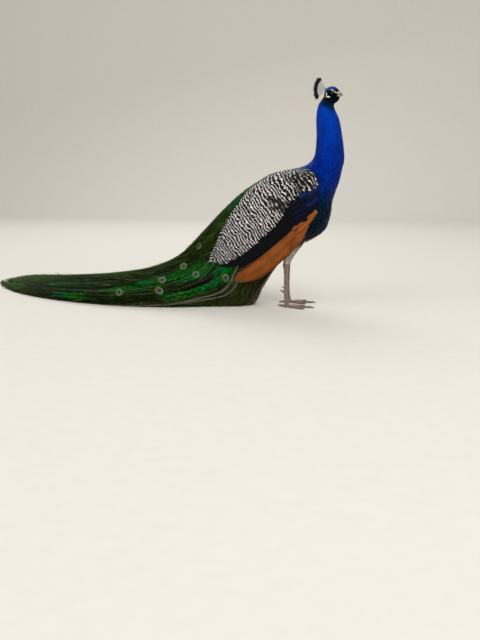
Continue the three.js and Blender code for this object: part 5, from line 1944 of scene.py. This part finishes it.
def build_legs(look, rng):
    """Scaly shanks and toes with plates in front and on top, claws and spurs."""
    coat = Coat()
    shank = Limb(SHANK_ROWS, -FOOT_SIDE)
    run = np.linspace(0, 6, 200)
    z = shank.bare(run, 0 * run)[:, 2]
    grey = np.array(look.leg_grey, float)
    for middle, half_turn, step, wide, long_ in ((0, .40, 6.0, 6.6, 7.6), (PI, .42, 5.4, 6.0, 6.8)):
        for column, offset in ((-1, 0), (1, .5)):
            heights = np.arange(150 - offset * step, 12, -step)
            t = np.interp(-heights, -z, run)
            a = np.full(len(t), middle + column * half_turn)
            scutes(coat, shank, t, a, long_, wide, np.tile(grey, (len(t), 1)), rng)
    for name, (angle, long_toe, tip) in TOES.items():
        knuckles = 1 if name == "back" else 2
        share = np.linspace(0, 1, 9)
        radius = (5.6 + (3.6 - 5.6) * share) * (1 + .1 * np.cos(2 * PI * knuckles * share))
        rows = np.stack([long_toe * share, 4.8 + (tip - 4.8) * share, radius, radius], -1)
        form = Limb(rows, -FOOT_SIDE, math.radians(angle))
        t = np.arange(.9 if name != "back" else .3, 8, 5.0 / long_toe * 8)
        scutes(coat, form, t, 0 * t, 6.4, np.interp(t, [0, 8], [10.5, 7.2]), np.tile(grey, (len(t), 1)), rng,
               .45)
    plates = horn_finish("leg_plates", tuple(grey), tuple(grey * .8), .45, ((0, 0, -1), -.12, -.01),
                         coat=.05)
    base = scaly_finish("leg_scales", tuple(grey * .9), tuple(look.leg_seam), 2.6)
    claw = horn_finish("claw_horn", tuple(look.horn_dark), tuple(np.array(look.horn_dark) * .5), .35,
                       ((0, 0, -1), -.02, 0))
    for side, held in (("right", coat), ("left", coat.mirrored())):
        settle(new_object("leg_plates_" + side, held, plates), "leg_scales")
        claws = ["claw_%s_%s" % (toe, side) for toe in TOES]
        for name, nodes, voxel, rounds, finish, slot in (
            ("leg_skin_", ["leg_" + side], .0011, 5, base, "leg_scales"),
            ("claws_", claws, .0005, 3, claw, "claw_horn"),
            ("spur_horn_", ["spur_" + side], .0005, 4, claw, "claw_horn"),
        ):
            piece = grown_skin(name + side, nodes, voxel, rounds)
            piece.data.materials.append(finish)
            settle(piece, slot, *nodes)
    bpy.ops.object.select_all(action="DESELECT")


# ------------------------------------------------------------------ stage
CAMERA_AT = np.array([221.6, -2806.5, 493.0])
CAMERA_AZIMUTH, CAMERA_DIP = math.radians(8), math.radians(11.03)
FLOOR_SIZE, FLOOR_Y, WALL_HEIGHT = 16, -3.8, 7
CURVE_RADIUS, CURVE_STEPS = 1.2, 12
LIGHTS = (  # name, place, size, power and tone
    ("key_light", (2.6, -3.6, 4.2), 3.2, 185, (1, .97, .93)),
    ("fill_light", (-3.4, -3.2, 2.4), 3.5, 75, (.93, .96, 1)),
    ("back_light", (-.6, 3.2, 3.6), 2.6, 80, (1, 1, 1)),
)


def build_stage(look):
    """Pale floor curving up into a backdrop, soft lights and the camera."""
    bpy.ops.object.select_all(action="DESELECT")
    bpy.ops.mesh.primitive_plane_add(size=FLOOR_SIZE, location=(0, FLOOR_Y, 0))
    floor = bpy.context.object
    floor.name = "floor"
    bpy.ops.object.transform_apply(location=True, rotation=True, scale=True)
    bpy.ops.object.mode_set(mode="EDIT")
    bpy.ops.mesh.select_mode(type="EDGE")
    bpy.ops.mesh.select_all(action="DESELECT")
    bpy.ops.object.mode_set(mode="OBJECT")
    for edge in floor.data.edges:
        edge.select = all(floor.data.vertices[i].co.y > FLOOR_Y for i in edge.vertices)
    bpy.ops.object.mode_set(mode="EDIT")
    for k in range(CURVE_STEPS):
        low, high = PI / 2 * k / CURVE_STEPS, PI / 2 * (k + 1) / CURVE_STEPS
        move = (0, CURVE_RADIUS * (math.sin(high) - math.sin(low)),
                CURVE_RADIUS * (math.cos(low) - math.cos(high)))
        bpy.ops.mesh.extrude_region_move(TRANSFORM_OT_translate={"value": move})
    bpy.ops.mesh.extrude_region_move(TRANSFORM_OT_translate={"value": (0, 0, WALL_HEIGHT)})
    bpy.ops.mesh.select_all(action="SELECT")
    bpy.ops.mesh.normals_make_consistent(inside=False)
    bpy.ops.object.mode_set(mode="OBJECT")
    bpy.ops.object.shade_smooth()
    floor.data.materials.append(floor_finish(tuple(look.floor_pale)))
    for name, place, size, power, tone in LIGHTS:
        data = bpy.data.lights.new(name, "AREA")
        data.shape, data.size, data.energy, data.color = "SQUARE", size, power, tone
        lamp = bpy.data.objects.new(name, data)
        lamp.location = place
        lamp.rotation_euler = (Vector((0, 0, .3)) - Vector(place)).to_track_quat("-Z", "Y").to_euler()
        bpy.context.scene.collection.objects.link(lamp)
    world = bpy.data.worlds.new("studio")
    world.use_nodes = True
    sky = world.node_tree.nodes["Background"]
    sky.inputs["Color"].default_value = (.9, .89, .87, 1)
    sky.inputs["Strength"].default_value = .55
    bpy.context.scene.world = world
    bpy.context.scene.view_settings.view_transform = "Standard"
    camera = bpy.data.objects.new("camera", bpy.data.cameras.new("camera"))
    camera.data.lens, camera.data.sensor_width = 45, 36
    camera.location = CAMERA_AT * MM + SHIFT
    camera.rotation_euler = (PI / 2 - CAMERA_DIP, 0, CAMERA_AZIMUTH)
    bpy.context.scene.collection.objects.link(camera)
    bpy.context.scene.camera = camera


# ------------------------------------------------------------------ operators
def seeded(number):
    """Random numbers of their own for one piece, the same in every run."""
    return np.random.default_rng(1000 + number)


class PEACOCK_OT_stage(bpy.types.Operator):
    """Floor, backdrop, lights and camera"""

    bl_idname = "peacock.stage"
    bl_label = "Stage"

    def execute(self, context):
        build_stage(look_of(context))
        return {"FINISHED"}


class PEACOCK_OT_skin(bpy.types.Operator):
    """One skin under the plumage of head, neck, trunk and thighs, with the lids"""

    bl_idname = "peacock.skin"
    bl_label = "Skin"

    def execute(self, context):
        build_skin(look_of(context))
        return {"FINISHED"}


class PEACOCK_OT_head(bpy.types.Operator):
    """Head plumage, eyes, bill and crest"""

    bl_idname = "peacock.head"
    bl_label = "Head"

    def execute(self, context):
        look = look_of(context)
        build_head_coat(look, seeded(1))
        build_jaw_coat(look, seeded(12))
        build_eyes(look)
        build_bill(look)
        build_crest(look, seeded(2))
        return {"FINISHED"}


class PEACOCK_OT_body(bpy.types.Operator):
    """Plumage of the neck, breast, back and thighs"""

    bl_idname = "peacock.body"
    bl_label = "Body plumage"

    def execute(self, context):
        build_body_coat(look_of(context), seeded(3))
        build_thigh_coat(look_of(context), seeded(4))
        return {"FINISHED"}


class PEACOCK_OT_wings(bpy.types.Operator):
    """Both folded wings: bed, barred coverts, secondaries and primaries"""

    bl_idname = "peacock.wings"
    bl_label = "Wings"

    def execute(self, context):
        look = look_of(context)
        build_wing_bed(look)
        build_coverts(look, seeded(5))
        build_secondaries(look, seeded(6))
        build_primaries(look, seeded(7))
        return {"FINISHED"}


class PEACOCK_OT_train(bpy.types.Operator):
    """Tail feathers and the long train with its eye spots"""

    bl_idname = "peacock.train"
    bl_label = "Tail and train"

    def execute(self, context):
        look = look_of(context)
        build_tail(look, seeded(8))
        build_train_coverts(look, seeded(9))
        build_train(look, seeded(10))
        return {"FINISHED"}


class PEACOCK_OT_legs(bpy.types.Operator):
    """Shanks, toes, claws and spurs"""

    bl_idname = "peacock.legs"
    bl_label = "Legs"

    def execute(self, context):
        build_legs(look_of(context), seeded(11))
        return {"FINISHED"}


STEPS = (PEACOCK_OT_stage, PEACOCK_OT_skin, PEACOCK_OT_head, PEACOCK_OT_body, PEACOCK_OT_wings,
         PEACOCK_OT_train,
         PEACOCK_OT_legs)


class PEACOCK_PT_panel(bpy.types.Panel):
    """The peacock's pieces and settings"""

    bl_idname = "PEACOCK_PT_panel"
    bl_label = "Peacock"
    bl_space_type = "VIEW_3D"
    bl_region_type = "UI"
    bl_category = "Peacock"

    def draw(self, context):
        for step in STEPS:
            self.layout.operator(step.bl_idname)
        for name in PeacockLook.__annotations__:
            self.layout.prop(context.scene.peacock, name)


CLASSES = (PeacockLook, *STEPS, PEACOCK_PT_panel)


def register():
    for cls in CLASSES:
        bpy.utils.register_class(cls)
    bpy.types.Scene.peacock = PointerProperty(type=PeacockLook)


def unregister():
    del bpy.types.Scene.peacock
    for cls in reversed(CLASSES):
        bpy.utils.unregister_class(cls)


def main():
    register()
    bpy.ops.peacock.stage()
    bpy.ops.peacock.skin()
    bpy.ops.peacock.head()
    bpy.ops.peacock.body()
    bpy.ops.peacock.wings()
    bpy.ops.peacock.train()
    bpy.ops.peacock.legs()


if __name__ == "__main__":
    main()
